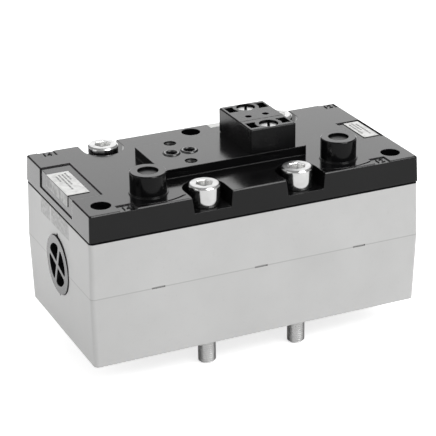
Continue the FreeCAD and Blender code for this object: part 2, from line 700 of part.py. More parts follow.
def pilot_adapter():
    """The adapter block: two screw wells, two air holes, four windows and a joint line."""
    top = PLATFORM_TOP + ADAPTER_HEIGHT
    levels = [(PLATFORM_TOP, 0.0), (top - ADAPTER_EDGE, 0.0), (top, ADAPTER_EDGE)]
    wires = []
    for z, inset in levels:
        wire = rounded_outline(ADAPTER_LENGTH - 2 * inset, ADAPTER_WIDTH - 2 * inset, ADAPTER_CORNER, z)
        wire.translate(Vector(INTERFACE_X, INTERFACE_Y, 0))
        wires.append(wire)
    block = Part.makeLoft(wires, True, True)
    tools = [adapter_window(across, along) for across in (-1, 1) for along in (-1, 1)]
    for x, y in insert_places(1):
        tools.append(disc(ADAPTER_WELL_DIAMETER, x, y, top - ADAPTER_WELL_DEPTH, top + PAST))
        tools.append(disc(PILOT_SCREW_DIAMETER + SCREW_ROOM, x, y, PLATFORM_TOP - PAST, top))
    low = PLATFORM_TOP - PAST
    tools += [disc(ADAPTER_PORT_DIAMETER, x, y, low, top + PAST) for x, y in port_places(1)]
    line = INTERFACE_Y + ADAPTER_LINE_Y
    half = ADAPTER_LENGTH / 2 + PAST
    tools.append(box((INTERFACE_X - half, INTERFACE_X + half), (line, line + ADAPTER_LINE_WIDTH),
                     (top - ADAPTER_LINE_DEPTH, top + PAST)))
    return cut_away(block, tools)


def slotted_screw(x, y):
    """A cheese-head screw with one slot, down through the adapter into its insert."""
    seat = PLATFORM_TOP + ADAPTER_HEIGHT - ADAPTER_WELL_DEPTH
    top = seat + SLOTTED_HEAD_HEIGHT
    tip = PLATFORM_TOP - INSERT_SINK - SLOTTED_SCREW_REACH
    head = disc(SLOTTED_HEAD_DIAMETER, x, y, seat, top)
    half, reach = SLOT_WIDTH / 2, SLOTTED_HEAD_DIAMETER
    slot = box((x - half, x + half), (y - reach, y + reach), (top - SLOT_DEPTH, top + PAST))
    slot.rotate(Vector(x, y, 0), Vector(0, 0, 1), SLOT_TURN)
    return fused([head, disc(PILOT_SCREW_DIAMETER, x, y, tip, seat)]).cut(slot)


def adapter_screws():
    """The two slotted screws as separate solids."""
    return Part.makeCompound([slotted_screw(x, y) for x, y in insert_places(1)])


def override_button(side):
    """A button: head with a seal groove, retaining collar and stem."""
    radius = BUTTON_DIAMETER / 2
    groove = radius - BUTTON_SEAL_DEPTH
    low, high = BUTTON_SEAL_LOW, BUTTON_SEAL_LOW + BUTTON_SEAL_WIDTH
    collar, stem = BUTTON_COLLAR_DIAMETER / 2, BUTTON_STEM_DIAMETER / 2
    outline = [(0, BUTTON_HEAD), (radius, BUTTON_HEAD), (radius, high), (groove, high), (groove, low),
               (radius, low), (radius, 0), (collar, 0), (collar, -BUTTON_COLLAR),
               (stem, -BUTTON_COLLAR), (stem, -STEM_LENGTH), (0, -STEM_LENGTH)]
    return revolved(outline, button_origin(side))


def button_origin(side):
    """The middle of the button's collar top, just under the step in the tower."""
    return Vector(side * TOWER_X, TOWER_Y, STEP_Z)


def button_seal(side):
    """The seal in the button's groove."""
    radius = BUTTON_DIAMETER / 2
    groove = radius - BUTTON_SEAL_DEPTH
    low, high = BUTTON_SEAL_LOW, BUTTON_SEAL_LOW + BUTTON_SEAL_WIDTH
    outline = [(groove, low), (radius, low), (radius, high), (groove, high)]
    return revolved(outline, button_origin(side))


def button_spring(side):
    """A return spring of square wire, ground flat at both ends."""
    low, high = BODY_TOP, STEP_Z - BUTTON_COLLAR
    radius, half = (SPRING_DIAMETER - SPRING_WIRE) / 2, SPRING_WIRE / 2
    offsets = ((-half, -half), (half, -half), (half, half), (-half, half))
    corners = [Vector(radius + dx, 0, dz) for dx, dz in offsets]
    steps = math.ceil((high - low + 2 * SPRING_WIRE) / SPRING_PITCH * SPRING_STEPS)
    sections = []
    for step in range(steps + 1):
        section = Part.makePolygon(corners + corners[:1])
        section.rotate(Vector(0, 0, 0), Vector(0, 0, 1), 360 * step / SPRING_STEPS)
        section.translate(Vector(0, 0, SPRING_PITCH * step / SPRING_STEPS))
        sections.append(section)
    coil = Part.makeLoft(sections, True, True)
    coil.translate(Vector(side * TOWER_X, TOWER_Y, low - SPRING_WIRE))
    x, reach = side * TOWER_X, SPRING_DIAMETER
    slab = box((x - reach, x + reach), (TOWER_Y - reach, TOWER_Y + reach), (low, high))
    return coil.common(slab)


def spool_seal_places():
    """The six seals' middles along the spool, with the spool at its left stop."""
    inner = CHAMBER_PITCH / 2 - SPOOL_STROKE / 2
    outer = 1.5 * CHAMBER_PITCH + SPOOL_STROKE / 2
    places = (-SPOOL_END_SEAL, -outer, -inner, inner, outer, SPOOL_END_SEAL)
    return [place - SPOOL_STROKE / 2 for place in places]


def spool():
    """The turned spool: six grooved flanges on a slim neck."""
    flange = SPOOL_DIAMETER - 2 * SPOOL_FLANGE_STEP
    half = SPOOL_FLANGE / 2
    places = spool_seal_places()
    neck = rod(SPOOL_NECK, places[0], places[-1])
    flanges = [rod(flange, place - half, place + half) for place in places]
    groove = SPOOL_DIAMETER - 2 * SPOOL_SEAL_DEPTH
    tools = []
    for place in places:
        low, high = place - SPOOL_SEAL_WIDTH / 2, place + SPOOL_SEAL_WIDTH / 2
        tools.append(rod(SPOOL_DIAMETER, low, high).cut(rod(groove, low, high)))
    return cut_away(fused([neck] + flanges), tools)


def spool_seal(place):
    """One ring seal in its groove on the spool."""
    low, high = place - SPOOL_SEAL_WIDTH / 2, place + SPOOL_SEAL_WIDTH / 2
    return rod(SPOOL_DIAMETER, low, high).cut(rod(SPOOL_DIAMETER - 2 * SPOOL_SEAL_DEPTH, low, high))


def cap_window(quarter):
    """One of the four windows between the webs of an end cap, drawn looking along X."""
    radius = CAP_WINDOW_DIAMETER / 2
    half = CAP_WEB / 2
    depth = CAP_WINDOW_DEPTH + PAST
    sector = Part.makeCylinder(radius, depth, Vector(0, 0, 0), Vector(1, 0, 0))
    window = sector.common(box((0, depth), (half, radius), (half, radius)))
    edges = [edge for edge in window.Edges if is_window_corner(edge, half, radius)]
    window = window.makeFillet(CAP_WINDOW_CORNER, edges)
    window.rotate(Vector(0, 0, 0), Vector(1, 0, 0), 90 * quarter + CAP_WEB_ANGLE)
    return window


def is_window_corner(edge, half, radius):
    """True for an edge along X that lies on the window's round outer side."""
    first, last = edge.Vertexes[0].Point, edge.Vertexes[-1].Point
    along = abs(first.x - last.x) > PAST
    return along and math.hypot(first.y, first.z) > (half + radius) / 2


def end_cap(side):
    """An end cap: round plug with four windows, a seal groove, two lugs and a stop stem."""
    seal_low = CAP_SHOULDER + CAP_SEAL_OFFSET
    seal_high = seal_low + CAP_SEAL_WIDTH
    plug = rod(CAP_DIAMETER, CAP_SHOULDER, CAP_FACE)
    stem = rod(CAP_STEM_DIAMETER, CAP_SHOULDER - CAP_STEM_LENGTH, CAP_SHOULDER + PAST)
    groove = rod(CAP_DIAMETER + PAST, seal_low, seal_high)
    groove = groove.cut(rod(CAP_DIAMETER - 2 * CAP_SEAL_DEPTH, seal_low, seal_high))
    windows = [cap_window(quarter) for quarter in range(4)]
    for window in windows:
        window.translate(Vector(CAP_FACE - CAP_WINDOW_DEPTH, 0, AXIS_Z))
    cap = cut_away(fused([plug, stem] + [locked_lug(turn) for turn in (90, 270)]), [groove] + windows)
    if side < 0:
        cap.rotate(Vector(0, 0, 0), Vector(0, 0, 1), 180)
    return cap


def locked_lug(turn):
    """A cap's lug, turned from the way in to where it locks."""
    outer = CAP_FACE - LUG_DEPTH
    shape = lug(1, 1, 0.0, outer - LUG_THICKNESS, outer)
    shape.rotate(Vector(0, 0, AXIS_Z), Vector(1, 0, 0), turn)
    return shape


def cap_seal(side):
    """The seal in an end cap's groove."""
    low = CAP_SHOULDER + CAP_SEAL_OFFSET
    high = low + CAP_SEAL_WIDTH
    span = sorted((side * low, side * high))
    outer = CAP_DIAMETER + CAP_ROOM
    return rod(outer, *span).cut(rod(CAP_DIAMETER - 2 * CAP_SEAL_DEPTH, *span))


def left_label():
    """The label on the cover's left end, folded down over the edge."""
    inset, front, back = LEFT_LABEL
    floor = COVER_TOP - LABEL_SINK
    fold = FLAP_SINK - LABEL_THICKNESS / 2 - COVER_EDGE - TOP_END
    top = box((fold, inset - END_FACE), (front, back), (floor, floor + LABEL_THICKNESS))
    flap = leaned((FLAP_SINK - LABEL_THICKNESS, FLAP_SINK), (front, back),
                  (COVER_TOP - LEFT_LABEL_DROP, floor + LABEL_THICKNESS))
    return fused([top, flap])


def right_label():
    """The flat label on the cover's right end."""
    inset, front, back = RIGHT_LABEL
    floor = COVER_TOP - LABEL_SINK
    return box((END_FACE - inset, TOP_END - RIGHT_LABEL_GAP), (front, back),
               (floor, floor + LABEL_THICKNESS))


def back_label():
    """The flat label along the back edge."""
    low, high, inset = BACK_LABEL
    return box((low, high), (SIDE_FACE - inset, TOP_SIDE), (COVER_TOP - LABEL_THICKNESS, COVER_TOP))


def sided(name, build):
    """A left and a right piece with their node names."""
    return {"left_" + name: build(-1), "right_" + name: build(1)}


def all_parts():
    """Every node of the valve by name."""
    parts = {"body": body(), "cover": cover(), "cover_gasket": cover_gasket(), "base_seal": base_seal()}
    parts["spool"] = spool()
    for number, place in enumerate(spool_seal_places(), start=1):
        parts["spool_seal_%d" % number] = spool_seal(place)
    parts.update(sided("end_cap", end_cap))
    parts.update(sided("cap_seal", cap_seal))
    parts.update(sided("override_button", override_button))
    parts.update(sided("button_seal", button_seal))
    parts.update(sided("button_spring", button_spring))
    for place, (x, y) in zip(("inner", "outer"), port_places(-1)):
        parts["open_port_seal_" + place] = port_seal(x, y, PORT_SEAL_HEIGHT)
    for place, (x, y) in zip(("inner", "outer"), port_places(1)):
        parts["adapter_seal_" + place] = port_seal(x, y, PORT_SEAL_SEAT)
    parts["pilot_adapter"] = pilot_adapter()
    parts["adapter_screws"] = adapter_screws()
    parts["threaded_inserts"] = threaded_inserts()
    parts["mounting_screws"] = mounting_screws()
    parts["cover_screws"] = cover_screws()
    parts["left_label"] = left_label()
    parts["right_label"] = right_label()
    parts["back_label"] = back_label()
    return parts


os.makedirs("parts", exist_ok=True)
for node, shape in all_parts().items():
    shape.exportStep("parts/" + node + ".step")
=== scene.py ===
"""Dresses the pilot-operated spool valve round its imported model.

The castings, the moulded parts, the gasket, the spool, the label films, the hidden flat seals and
the adapter's screws are the model's own solids with procedural finishes. The socket screws,
springs, round seals and threaded inserts are made here in millimetres, each in its place on the
valve, and stand for the plain solids there. The label print and the numbers are added.
"""

import logging
import math
from dataclasses import dataclass
from enum import Enum
from itertools import cycle, product
from typing import Iterable, Sequence

import bmesh
import bpy
from bmesh.types import BMesh, BMVert
from bpy.types import ID, Material, Node, NodeSocket, Object, World
from mathutils import Matrix, Vector


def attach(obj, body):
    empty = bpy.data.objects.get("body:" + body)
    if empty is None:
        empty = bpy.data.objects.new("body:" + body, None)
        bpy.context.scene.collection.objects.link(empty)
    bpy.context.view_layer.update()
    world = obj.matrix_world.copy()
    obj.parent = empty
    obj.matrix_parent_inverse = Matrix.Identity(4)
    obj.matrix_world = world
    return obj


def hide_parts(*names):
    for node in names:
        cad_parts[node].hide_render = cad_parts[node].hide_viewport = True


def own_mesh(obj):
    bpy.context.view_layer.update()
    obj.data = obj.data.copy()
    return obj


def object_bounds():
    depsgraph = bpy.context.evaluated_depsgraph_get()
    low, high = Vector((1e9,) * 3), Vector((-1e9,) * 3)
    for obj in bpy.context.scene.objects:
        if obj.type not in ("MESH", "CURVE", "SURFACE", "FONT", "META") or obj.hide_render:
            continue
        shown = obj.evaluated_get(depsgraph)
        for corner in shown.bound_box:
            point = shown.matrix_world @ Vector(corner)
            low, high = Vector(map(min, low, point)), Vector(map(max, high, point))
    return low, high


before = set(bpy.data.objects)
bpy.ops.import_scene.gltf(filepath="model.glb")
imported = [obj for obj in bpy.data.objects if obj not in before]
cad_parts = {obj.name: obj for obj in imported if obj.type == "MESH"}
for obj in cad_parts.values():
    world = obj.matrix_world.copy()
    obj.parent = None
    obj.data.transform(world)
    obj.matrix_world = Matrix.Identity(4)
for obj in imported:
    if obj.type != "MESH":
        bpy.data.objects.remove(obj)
CAD_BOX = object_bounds()

log = logging.getLogger("valve")
MM = 0.001
SMOOTH_ANGLE = math.radians(32)
MERGE_MM = 1e-4
SPOOL_AXIS_MM = 45.7
# Nearly all values of a noise lie in this stretch.
CLOUD_SPAN = (0.3, 0.7)
WHITE = (1.0, 1.0, 1.0, 1.0)
# Shares of a thread's pitch: its depth, half its ridge's width at the root and at the crest, and
# how far the ridge keeps off the screw's tip and off the thread's other end.
THREAD_DEPTH, THREAD_ROOT, THREAD_CREST, THREAD_START, THREAD_STOP = 0.61, 0.44, 0.07, 0.5, 0.3

Pair = tuple[float, float]
Colour = tuple[float, float, float]
Place = tuple[float, float, float]
Row = tuple[float, float, float]
Outline = Sequence[Pair]


class Slot(Enum):
    """Material slot names."""

    CAST_BODY = "cast_body"
    COVER_PLASTIC = "cover_plastic"
    ADAPTER_PLASTIC = "adapter_plastic"
    CAP_PLASTIC = "cap_plastic"
    SEAL_RUBBER = "seal_rubber"
    GASKET_SHEET = "gasket_sheet"
    SPOOL_METAL = "spool_metal"
    ZINC_SCREW = "zinc_screw"
    BLACK_SCREW = "black_screw"
    INSERT_STEEL = "insert_steel"
    SPRING_STEEL = "spring_steel"
    LABEL_FILM = "label_film"


class Body(Enum):
    """The valve's bodies: the housing and the three things that slide in it."""

    HOUSING = "housing"
    SPOOL_SET = "spool_set"
    LEFT_BUTTON = "left_button"
    RIGHT_BUTTON = "right_button"


class Lie(Enum):
    """Which way a turned piece's axis lies."""

    UPRIGHT = "upright"
    ALONG_SPOOL = "along_spool"


class ShaderSheet:
    """The node tree of a material or world, with short calls for the nodes that they share."""

    SLOPE_SPAN: Pair = (0.6, 0.95)
    CREVICE_SPAN: Pair = (0.4, 0.8)
    CREVICE_SHARE: float = 0.95
    RING_WAVER: float = 0.6

    def __init__(self, owner: Material | World, shader: str = "Principled BSDF") -> None:
        """Opens a new node tree and adds a socket of Object coordinates.

        Args:
            owner: The material or world that the tree belongs to.
            shader: The name of its shader node.
        """
        owner.use_nodes = True
        self.tree = owner.node_tree
        self.shader = self.tree.nodes[shader]
        self.place = self.node("ShaderNodeTexCoord").outputs["Object"]

    def node(self, kind: str, **settings: object) -> Node:
        """Adds a node.

        Args:
            kind: The node's type name.
            settings: Properties to set on it.

        Returns:
            The new node.
        """
        made = self.tree.nodes.new(kind)
        for name, value in settings.items():
            setattr(made, name, value)
        return made

    def feed(self, node: Node, inputs: dict[str | int, object]) -> None:
        """Fills a node's inputs.

        Args:
            node: The node to fill.
            inputs: A value or another node's output socket for each input's name or number.
        """
        for key, value in inputs.items():
            if isinstance(value, NodeSocket):
                self.tree.links.new(value, node.inputs[key])
            else:
                node.inputs[key].default_value = value

    def noise(self, size_mm: float, detail: float = 2.0, stretch: Place = (1.0, 1.0, 1.0)) -> NodeSocket:
        """Makes cloudy noise.

        Args:
            size_mm: The rough size of one cloud.
            detail: How many finer layers lie on it.
            stretch: How much denser the clouds are along each axis.

        Returns:
            A value from 0 to 1.
        """
        mapping = self.node("ShaderNodeMapping")
        self.feed(mapping, {"Vector": self.place, "Scale": stretch})
        cloud = self.node("ShaderNodeTexNoise")
        self.feed(cloud, {"Vector": mapping.outputs["Vector"], "Scale": 1 / (size_mm * MM), "Detail": detail})
        return cloud.outputs["Fac"]

    def rings(self, pitch_mm: float, axis: str) -> NodeSocket:
        """Makes the fine even bands that a lathe tool leaves.

        Args:
            pitch_mm: The distance from one band to the next.
            axis: The letter of the axis that the bands follow each other on.

        Returns:
            A value from 0 to 1.
        """
        wave = self.node("ShaderNodeTexWave", wave_type="BANDS", bands_direction=axis)
        # At a scale of 1 the bands are a tenth of pi apart.
        scale = math.pi / (10 * pitch_mm * MM)
        self.feed(wave, {"Vector": self.place, "Scale": scale, "Distortion": self.RING_WAVER, "Detail": 1.0})
        return wave.outputs["Fac"]

    def level(self, value: NodeSocket, start: float, end: float, low: object = 0.0,
              high: object = 1.0) -> NodeSocket:
        """Maps one stretch of a value on to another, clamped at both ends.

        Args:
            value: The value to map.
            start: Where the stretch starts.
            end: Where it ends.
            low: The result at the start, or its socket.
            high: The result at the end, or its socket.

        Returns:
            The mapped value.
        """
        mapped = self.node("ShaderNodeMapRange", clamp=True)
        self.feed(mapped, {"Value": value, "From Min": start, "From Max": end, "To Min": low, "To Max": high})
        return mapped.outputs["Result"]

    def between(self, share: NodeSocket, first: object, second: object) -> NodeSocket:
        """Mixes two colours.

        Args:
            share: How much of the second colour shows.
            first: A colour, or a socket of one.
            second: The other colour, or a socket of it.

        Returns:
            The mixed colour.
        """
        mix = self.node("ShaderNodeMix", data_type="RGBA")
        first, second = (tone if isinstance(tone, NodeSocket) else (*tone, 1.0) for tone in (first, second))
        self.feed(mix, {0: share, 6: first, 7: second})
        return mix.outputs[2]

    def calc(self, operation: str, first: object, second: object = 0.0) -> NodeSocket:
        """Does one step of arithmetic.

        Args:
            operation: The step's name, such as ADD or SUBTRACT.
            first: A number or a socket.
            second: Another one.

        Returns:
            The result.
        """
        step = self.node("ShaderNodeMath", operation=operation)
        self.feed(step, {0: first, 1: second})
        return step.outputs["Value"]

    def along(self, axis: str) -> NodeSocket:
        """Gives one Object coordinate.

        Args:
            axis: The axis letter.

        Returns:
            The coordinate in metres.
        """
        split = self.node("ShaderNodeSeparateXYZ")
        self.feed(split, {"Vector": self.place})
        return split.outputs[axis]

    def ramp(self, axis: str, zero_mm: float, one_mm: float) -> NodeSocket:
        """Gives a share that grows from 0 to 1 along an axis and stays level beyond.

        Args:
            axis: The axis letter.
            zero_mm: Where the share is 0.
            one_mm: Where it is 1.

        Returns:
            The share's socket.
        """
        return self.level(self.along(axis), zero_mm * MM, one_mm * MM)

    def rays(self) -> tuple[NodeSocket, NodeSocket]:
        """Tells the kinds of rays apart.

        Returns:
            A share that is 1 for rays seen by the camera itself, and one that is 1 for mirrored rays.
        """
        kinds = self.node("ShaderNodeLightPath").outputs
        return self.calc("MAXIMUM", kinds["Is Camera Ray"], kinds["Is Transmission Ray"]), kinds["Is Glossy Ray"]

    def upward(self, most: float) -> NodeSocket:
        """Gives a value that faces looking up have, and upright ones don't.

        Args:
            most: The value on level faces.

        Returns:
            The value's socket.
        """
        facing = self.node("ShaderNodeSeparateXYZ")
        self.feed(facing, {"Vector": self.node("ShaderNodeNewGeometry").outputs["Normal"]})
        return self.level(facing.outputs["Z"], *self.SLOPE_SPAN, 0.0, most)

    def crevices(self, reach_mm: float, alone: bool) -> NodeSocket:
        """Finds how deep in a crevice a spot lies.

        Args:
            reach_mm: How far away the crevice's walls may be.
            alone: Whether only the piece's own faces count as walls.

        Returns:
            A share from 0 on open faces to 1 in a crevice.
        """
        open_share = self.node("ShaderNodeAmbientOcclusion", samples=8, only_local=alone)
        self.feed(open_share, {"Distance": reach_mm * MM})
        return self.level(open_share.outputs["AO"], *self.CREVICE_SPAN, self.CREVICE_SHARE, 0.0)

    def relief(self, layers: Iterable[tuple[NodeSocket, float]], edge_mm: float) -> None:
        """Joins worn edges and layers of fine relief into the shader's normal.

        Args:
            layers: Each layer's height from 0 to 1, with the depth in millimetres that 1 stands for.
            edge_mm: The radius that sharp edges seem to have.
        """
        edge = self.node("ShaderNodeBevel", samples=6)
        self.feed(edge, {"Radius": edge_mm * MM})
        normal = edge.outputs["Normal"]
        for height, depth in layers:
            bump = self.node("ShaderNodeBump")
            self.feed(bump, {"Height": height, "Distance": depth * MM, "Strength": 1.0, "Normal": normal})
            normal = bump.outputs["Normal"]
        self.feed(self.shader, {"Normal": normal})


@dataclass(frozen=True)
class Finish:
    """A surface finish: two close tones, its gloss and its grain.

    The tones mix in clouds, and the roughness follows the clouds a little.
    """

    label: str
    slot: Slot
    tone: Colour
    dark_tone: Colour
    roughness: float
    roughness_spread: float = 0.06
    metallic: float = 0.0
    ior: float = 1.5
    specular: float = 0.5
    coat: float = 0.0
    coat_roughness: float = 0.1
    cloud_mm: float = 14.0
    grain_mm: float = 0.35
    grain_depth_mm: float = 0.006
    edge_mm: float = 0.2
    # Painted shade in crevices: how far their walls may be, whether other pieces count, the height it starts at,
    # its fade and its dark tone.
    crevice_mm: float = 0.0
    crevice_alone: bool = True
    crevice_from_mm: float = 0.0
    crevice_fade_mm: float = 1.0
    crevice_shade_tone: Colour = (0.03, 0.03, 0.03)

    def material(self) -> Material:
        """Builds the material, once for each finish.

        Returns:
            The material.
        """
        made = bpy.data.materials.get(self.label)
        if made is not None:
            return made
        made = bpy.data.materials.new(self.label)
        sheet = ShaderSheet(made)
        sheet.feed(sheet.shader, {"Metallic": self.metallic, "IOR": self.ior,
                                  "Specular IOR Level": self.shine(sheet),
                                  "Coat Weight": self.coat, "Coat Roughness": self.coat_roughness})
        clouds = sheet.noise(self.cloud_mm, detail=4.0)
        colour = self.tint(sheet, clouds)
        # Painted shade: where ambient occlusion finds a crevice above a height, the colour darkens towards the
        # crevice shade tone.
        if self.crevice_mm:
            above = sheet.ramp("Z", self.crevice_from_mm, self.crevice_from_mm + self.crevice_fade_mm)
            depth = sheet.calc("MULTIPLY", sheet.crevices(self.crevice_mm, self.crevice_alone), above)
            colour = sheet.between(depth, colour, self.crevice_shade_tone)
        sheet.feed(sheet.shader, {"Base Color": colour, "Roughness": self.gloss(sheet, clouds)})
        sheet.relief(self.layers(sheet), self.edge_mm)
        return made

    def shine(self, sheet: ShaderSheet) -> object:
        """Gives the strength of the mirroring.

        Args:
            sheet: The material's node tree.

        Returns:
            The strength, or its socket.
        """
        return self.specular

    def gloss(self, sheet: ShaderSheet, clouds: NodeSocket) -> NodeSocket:
        """Gives the roughness.

        Args:
            sheet: The material's node tree.
            clouds: The noise that it follows.

        Returns:
            The roughness's socket.
        """
        return sheet.level(clouds, *CLOUD_SPAN, self.roughness - self.roughness_spread,
                           self.roughness + self.roughness_spread)

    def tint(self, sheet: ShaderSheet, clouds: NodeSocket) -> NodeSocket:
        """Gives the colour.

        Args:
            sheet: The material's node tree.
            clouds: The noise that the two tones follow.

        Returns:
            The colour's socket.
        """
        return sheet.between(sheet.level(clouds, *CLOUD_SPAN), self.dark_tone, self.tone)

    def layers(self, sheet: ShaderSheet) -> list[tuple[NodeSocket, float]]:
        """Gives the layers of fine relief.

        Args:
            sheet: The material's node tree.

        Returns:
            Each layer's height and depth.
        """
        return [(sheet.noise(self.grain_mm, detail=3.0), self.grain_depth_mm)]


@dataclass(frozen=True)
class CastPaint(Finish):
    """Bead-blasted die casting under a clear coat, darker along the parting line, with painted shade in the end
    bores.
    """

    seam_mm: float = SPOOL_AXIS_MM
    seam_width_mm: float = 0.65
    seam_core: float = 0.4
    seam_share: float = 0.6
    seam_tone: Colour = (0.38, 0.38, 0.375)
    speck_mm: float = 1.1
    speck_span: Pair = (0.66, 0.74)
    speck_share: float = 0.08
    field_end_mm: float = -76.0
    field_low_mm: float = 63.2
    fields_mm: Sequence[Pair] = ((-14.5, 7.0), (9.0, 20.5))
    field_fade_mm: float = 0.7
    field_depth_mm: float = 1.0
    field_tone: Colour = (0.24, 0.24, 0.236)
    field_noise_mm: float = 2.6
    field_noise_span: Pair = (0.42, 0.62)
    field_noise_shares: Pair = (0.3, 0.62)
    bore_mm: float = 15.6
    bore_end_mm: float = 78.4
    bore_fade_mm: float = 0.1
    bore_shade_tone: Colour = (0.015, 0.015, 0.015)
    dimple_mm: float = 2.4
    dimple_depth_mm: float = 0.015

    def tint(self, sheet: ShaderSheet, clouds: NodeSocket) -> NodeSocket:
        """Adds specks, the parting line, two faint darker fields and the bores' painted shade to the clouds."""
        ground = super().tint(sheet, clouds)
        specks = sheet.level(sheet.noise(self.speck_mm, detail=1.0), *self.speck_span, 0.0, self.speck_share)
        ground = sheet.between(specks, ground, self.seam_tone)
        for low, high in self.fields_mm:
            ground = sheet.between(self.faint_field(sheet, low, high), ground, self.field_tone)
        offset = sheet.calc("ABSOLUTE", sheet.calc("SUBTRACT", sheet.along("Z"), self.seam_mm * MM))
        half = self.seam_width_mm * MM / 2
        seam = sheet.level(offset, self.seam_core * half, half, self.seam_share, 0.0)
        ground = sheet.between(seam, ground, self.seam_tone)
        # Painted shade: the end bores and their cut-outs are nearly black.
        return sheet.between(self.bore_shade(sheet, offset), ground, self.bore_shade_tone)

    def bore_shade(self, sheet: ShaderSheet, rise: NodeSocket) -> NodeSocket:
        """Finds the end bores, where shade is painted.

        Args:
            sheet: The material's node tree.
            rise: The height above or below the bores' axis.

        Returns:
            A share that is 1 in the bores and their cut-outs.
        """
        across = sheet.along("Y")
        radius = sheet.calc("SQRT", sheet.calc("ADD", sheet.calc("MULTIPLY", across, across),
                                               sheet.calc("MULTIPLY", rise, rise)))
        inside = sheet.level(radius, (self.bore_mm - self.bore_fade_mm) * MM, self.bore_mm * MM, 1.0, 0.0)
        end = sheet.level(sheet.calc("ABSOLUTE", sheet.along("X")), (self.bore_end_mm - self.bore_fade_mm) * MM,
                          self.bore_end_mm * MM, 1.0, 0.0)
        return sheet.calc("MULTIPLY", inside, end)

    def faint_field(self, sheet: ShaderSheet, low: float, high: float) -> NodeSocket:
        """Gives a faint darker field on the left end, under the folded label.

        Args:
            sheet: The material's node tree.
            low: Where the field starts along the end.
            high: Where it ends.

        Returns:
            How much darker each spot is.
        """
        share = sheet.level(sheet.noise(self.field_noise_mm, detail=3.0, stretch=(1.0, 1.0, 2.0)),
                            *self.field_noise_span, *self.field_noise_shares)
        fade, foot, face = self.field_fade_mm, self.field_low_mm, self.field_end_mm
        for axis, outside, inside in (("X", face, face - self.field_depth_mm), ("Z", foot - fade, foot),
                                      ("Y", low - fade, low), ("Y", high + fade, high)):
            share = sheet.calc("MULTIPLY", share, sheet.ramp(axis, outside, inside))
        return share

    def layers(self, sheet: ShaderSheet) -> list[tuple[NodeSocket, float]]:
        """Adds the blasting's coarser dimples to the grain."""
        return super().layers(sheet) + [(sheet.noise(self.dimple_mm, detail=2.0), self.dimple_depth_mm)]


@dataclass(frozen=True)
class MouldedPlastic(Finish):
    """Glass-filled plastic with a spark-eroded grain and faint sink waves."""

    wave_mm: float = 22.0
    wave_depth_mm: float = 0.03
    dull_sides: float = 0.0
    dull_above_mm: float = 0.0
    dull_fade_mm: float = 0.4

    def shine(self, sheet: ShaderSheet) -> object:
        """Takes mirroring off the upright faces above a height, where the grain is coarser."""
        if not self.dull_sides:
            return self.specular
        upright = sheet.calc("SUBTRACT", self.dull_sides, sheet.upward(self.dull_sides))
        above = sheet.ramp("Z", self.dull_above_mm, self.dull_above_mm + self.dull_fade_mm)
        return sheet.calc("SUBTRACT", self.specular, sheet.calc("MULTIPLY", upright, above))

    def layers(self, sheet: ShaderSheet) -> list[tuple[NodeSocket, float]]:
        """Adds the sink waves to the grain."""
        return super().layers(sheet) + [(sheet.noise(self.wave_mm, detail=1.0), self.wave_depth_mm)]


@dataclass(frozen=True)
class TurnedMetal(Finish):
    """Metal with the fine rings that turning leaves along one axis."""

    ring_mm: float = 0.25
    ring_depth_mm: float = 0.002
    axis: str = "X"

    def layers(self, sheet: ShaderSheet) -> list[tuple[NodeSocket, float]]:
        """Adds the tool's rings to the grain."""
        return super().layers(sheet) + [(sheet.rings(self.ring_mm, self.axis), self.ring_depth_mm)]


@dataclass(frozen=True)
class PlatedSteel(Finish):
    """Steel with a thin plating: mottled tone, fine drawn scratches, and upper faces rougher with painted shade."""

    scratch_mm: float = 0.5
    scratch_depth_mm: float = 0.003
    scratch_stretch: Place = (1.0, 1.0, 0.12)
    # Roughness added to faces that look up, and the switch for the painted shade on them.
    top_roughness_and_shade: float = 0.0
    top_shade_tone: Colour = (0.5, 0.5, 0.5)

    def tint(self, sheet: ShaderSheet, clouds: NodeSocket) -> NodeSocket:
        """Paints shade on faces that look up: a darker tone there."""
        ground = super().tint(sheet, clouds)
        return sheet.between(sheet.upward(1.0), ground, self.top_shade_tone) if self.top_roughness_and_shade else ground

    def gloss(self, sheet: ShaderSheet, clouds: NodeSocket) -> NodeSocket:
        """Adds the roughness of faces that look up."""
        return sheet.calc("ADD", super().gloss(sheet, clouds), sheet.upward(self.top_roughness_and_shade))

    def layers(self, sheet: ShaderSheet) -> list[tuple[NodeSocket, float]]:
        """Adds upright scratches to the grain."""
        scratches = sheet.noise(self.scratch_mm, detail=2.0, stretch=self.scratch_stretch)
        return super().layers(sheet) + [(scratches, self.scratch_depth_mm)]


@dataclass(frozen=True)
class LabelFilm(Finish):
    """Printed film with smudged handling marks, painted shade on its folded flap and a painted dark line of shade
    at the fold.
    """

    smudge_tone: Colour = (0.42, 0.42, 0.415)
    smudge_mm: float = 3.2
    smudge_span: Pair = (0.45, 0.68)
    smudge_share: float = 0.6
    fold_mm: float = 82.85
    fold_fade_mm: float = 0.05
    flap_shade_shares: Pair = (0.9, 0.2)
    flap_shade_tone: Colour = (0.19, 0.19, 0.188)
    crease_mm: float = 0.5
    crease_fade_mm: float = 0.1
    crease_shade_tone: Colour = (0.05, 0.05, 0.05)

    def tint(self, sheet: ShaderSheet, clouds: NodeSocket) -> NodeSocket:
        """Adds smudges to the clouds, a painted dark line of shade at the fold and a darker tone painted as shade
        on the flap below it.
        """
        smudges = sheet.level(sheet.noise(self.smudge_mm, detail=3.0), *self.smudge_span, 0.0, self.smudge_share)
        low, high = self.fold_mm - self.crease_mm, self.fold_mm
        worn = sheet.between(smudges, super().tint(sheet, clouds), self.smudge_tone)
        # Painted shade: the flap below the fold is darker, and a dark line of shade runs along the fold.
        flap = sheet.between(sheet.level(smudges, 0.0, self.smudge_share, *self.flap_shade_shares), worn, self.flap_shade_tone)
        flap = sheet.between(sheet.ramp("Z", low, low + self.crease_fade_mm), flap, self.crease_shade_tone)
        return sheet.between(sheet.ramp("Z", high - self.fold_fade_mm, high), flap, worn)
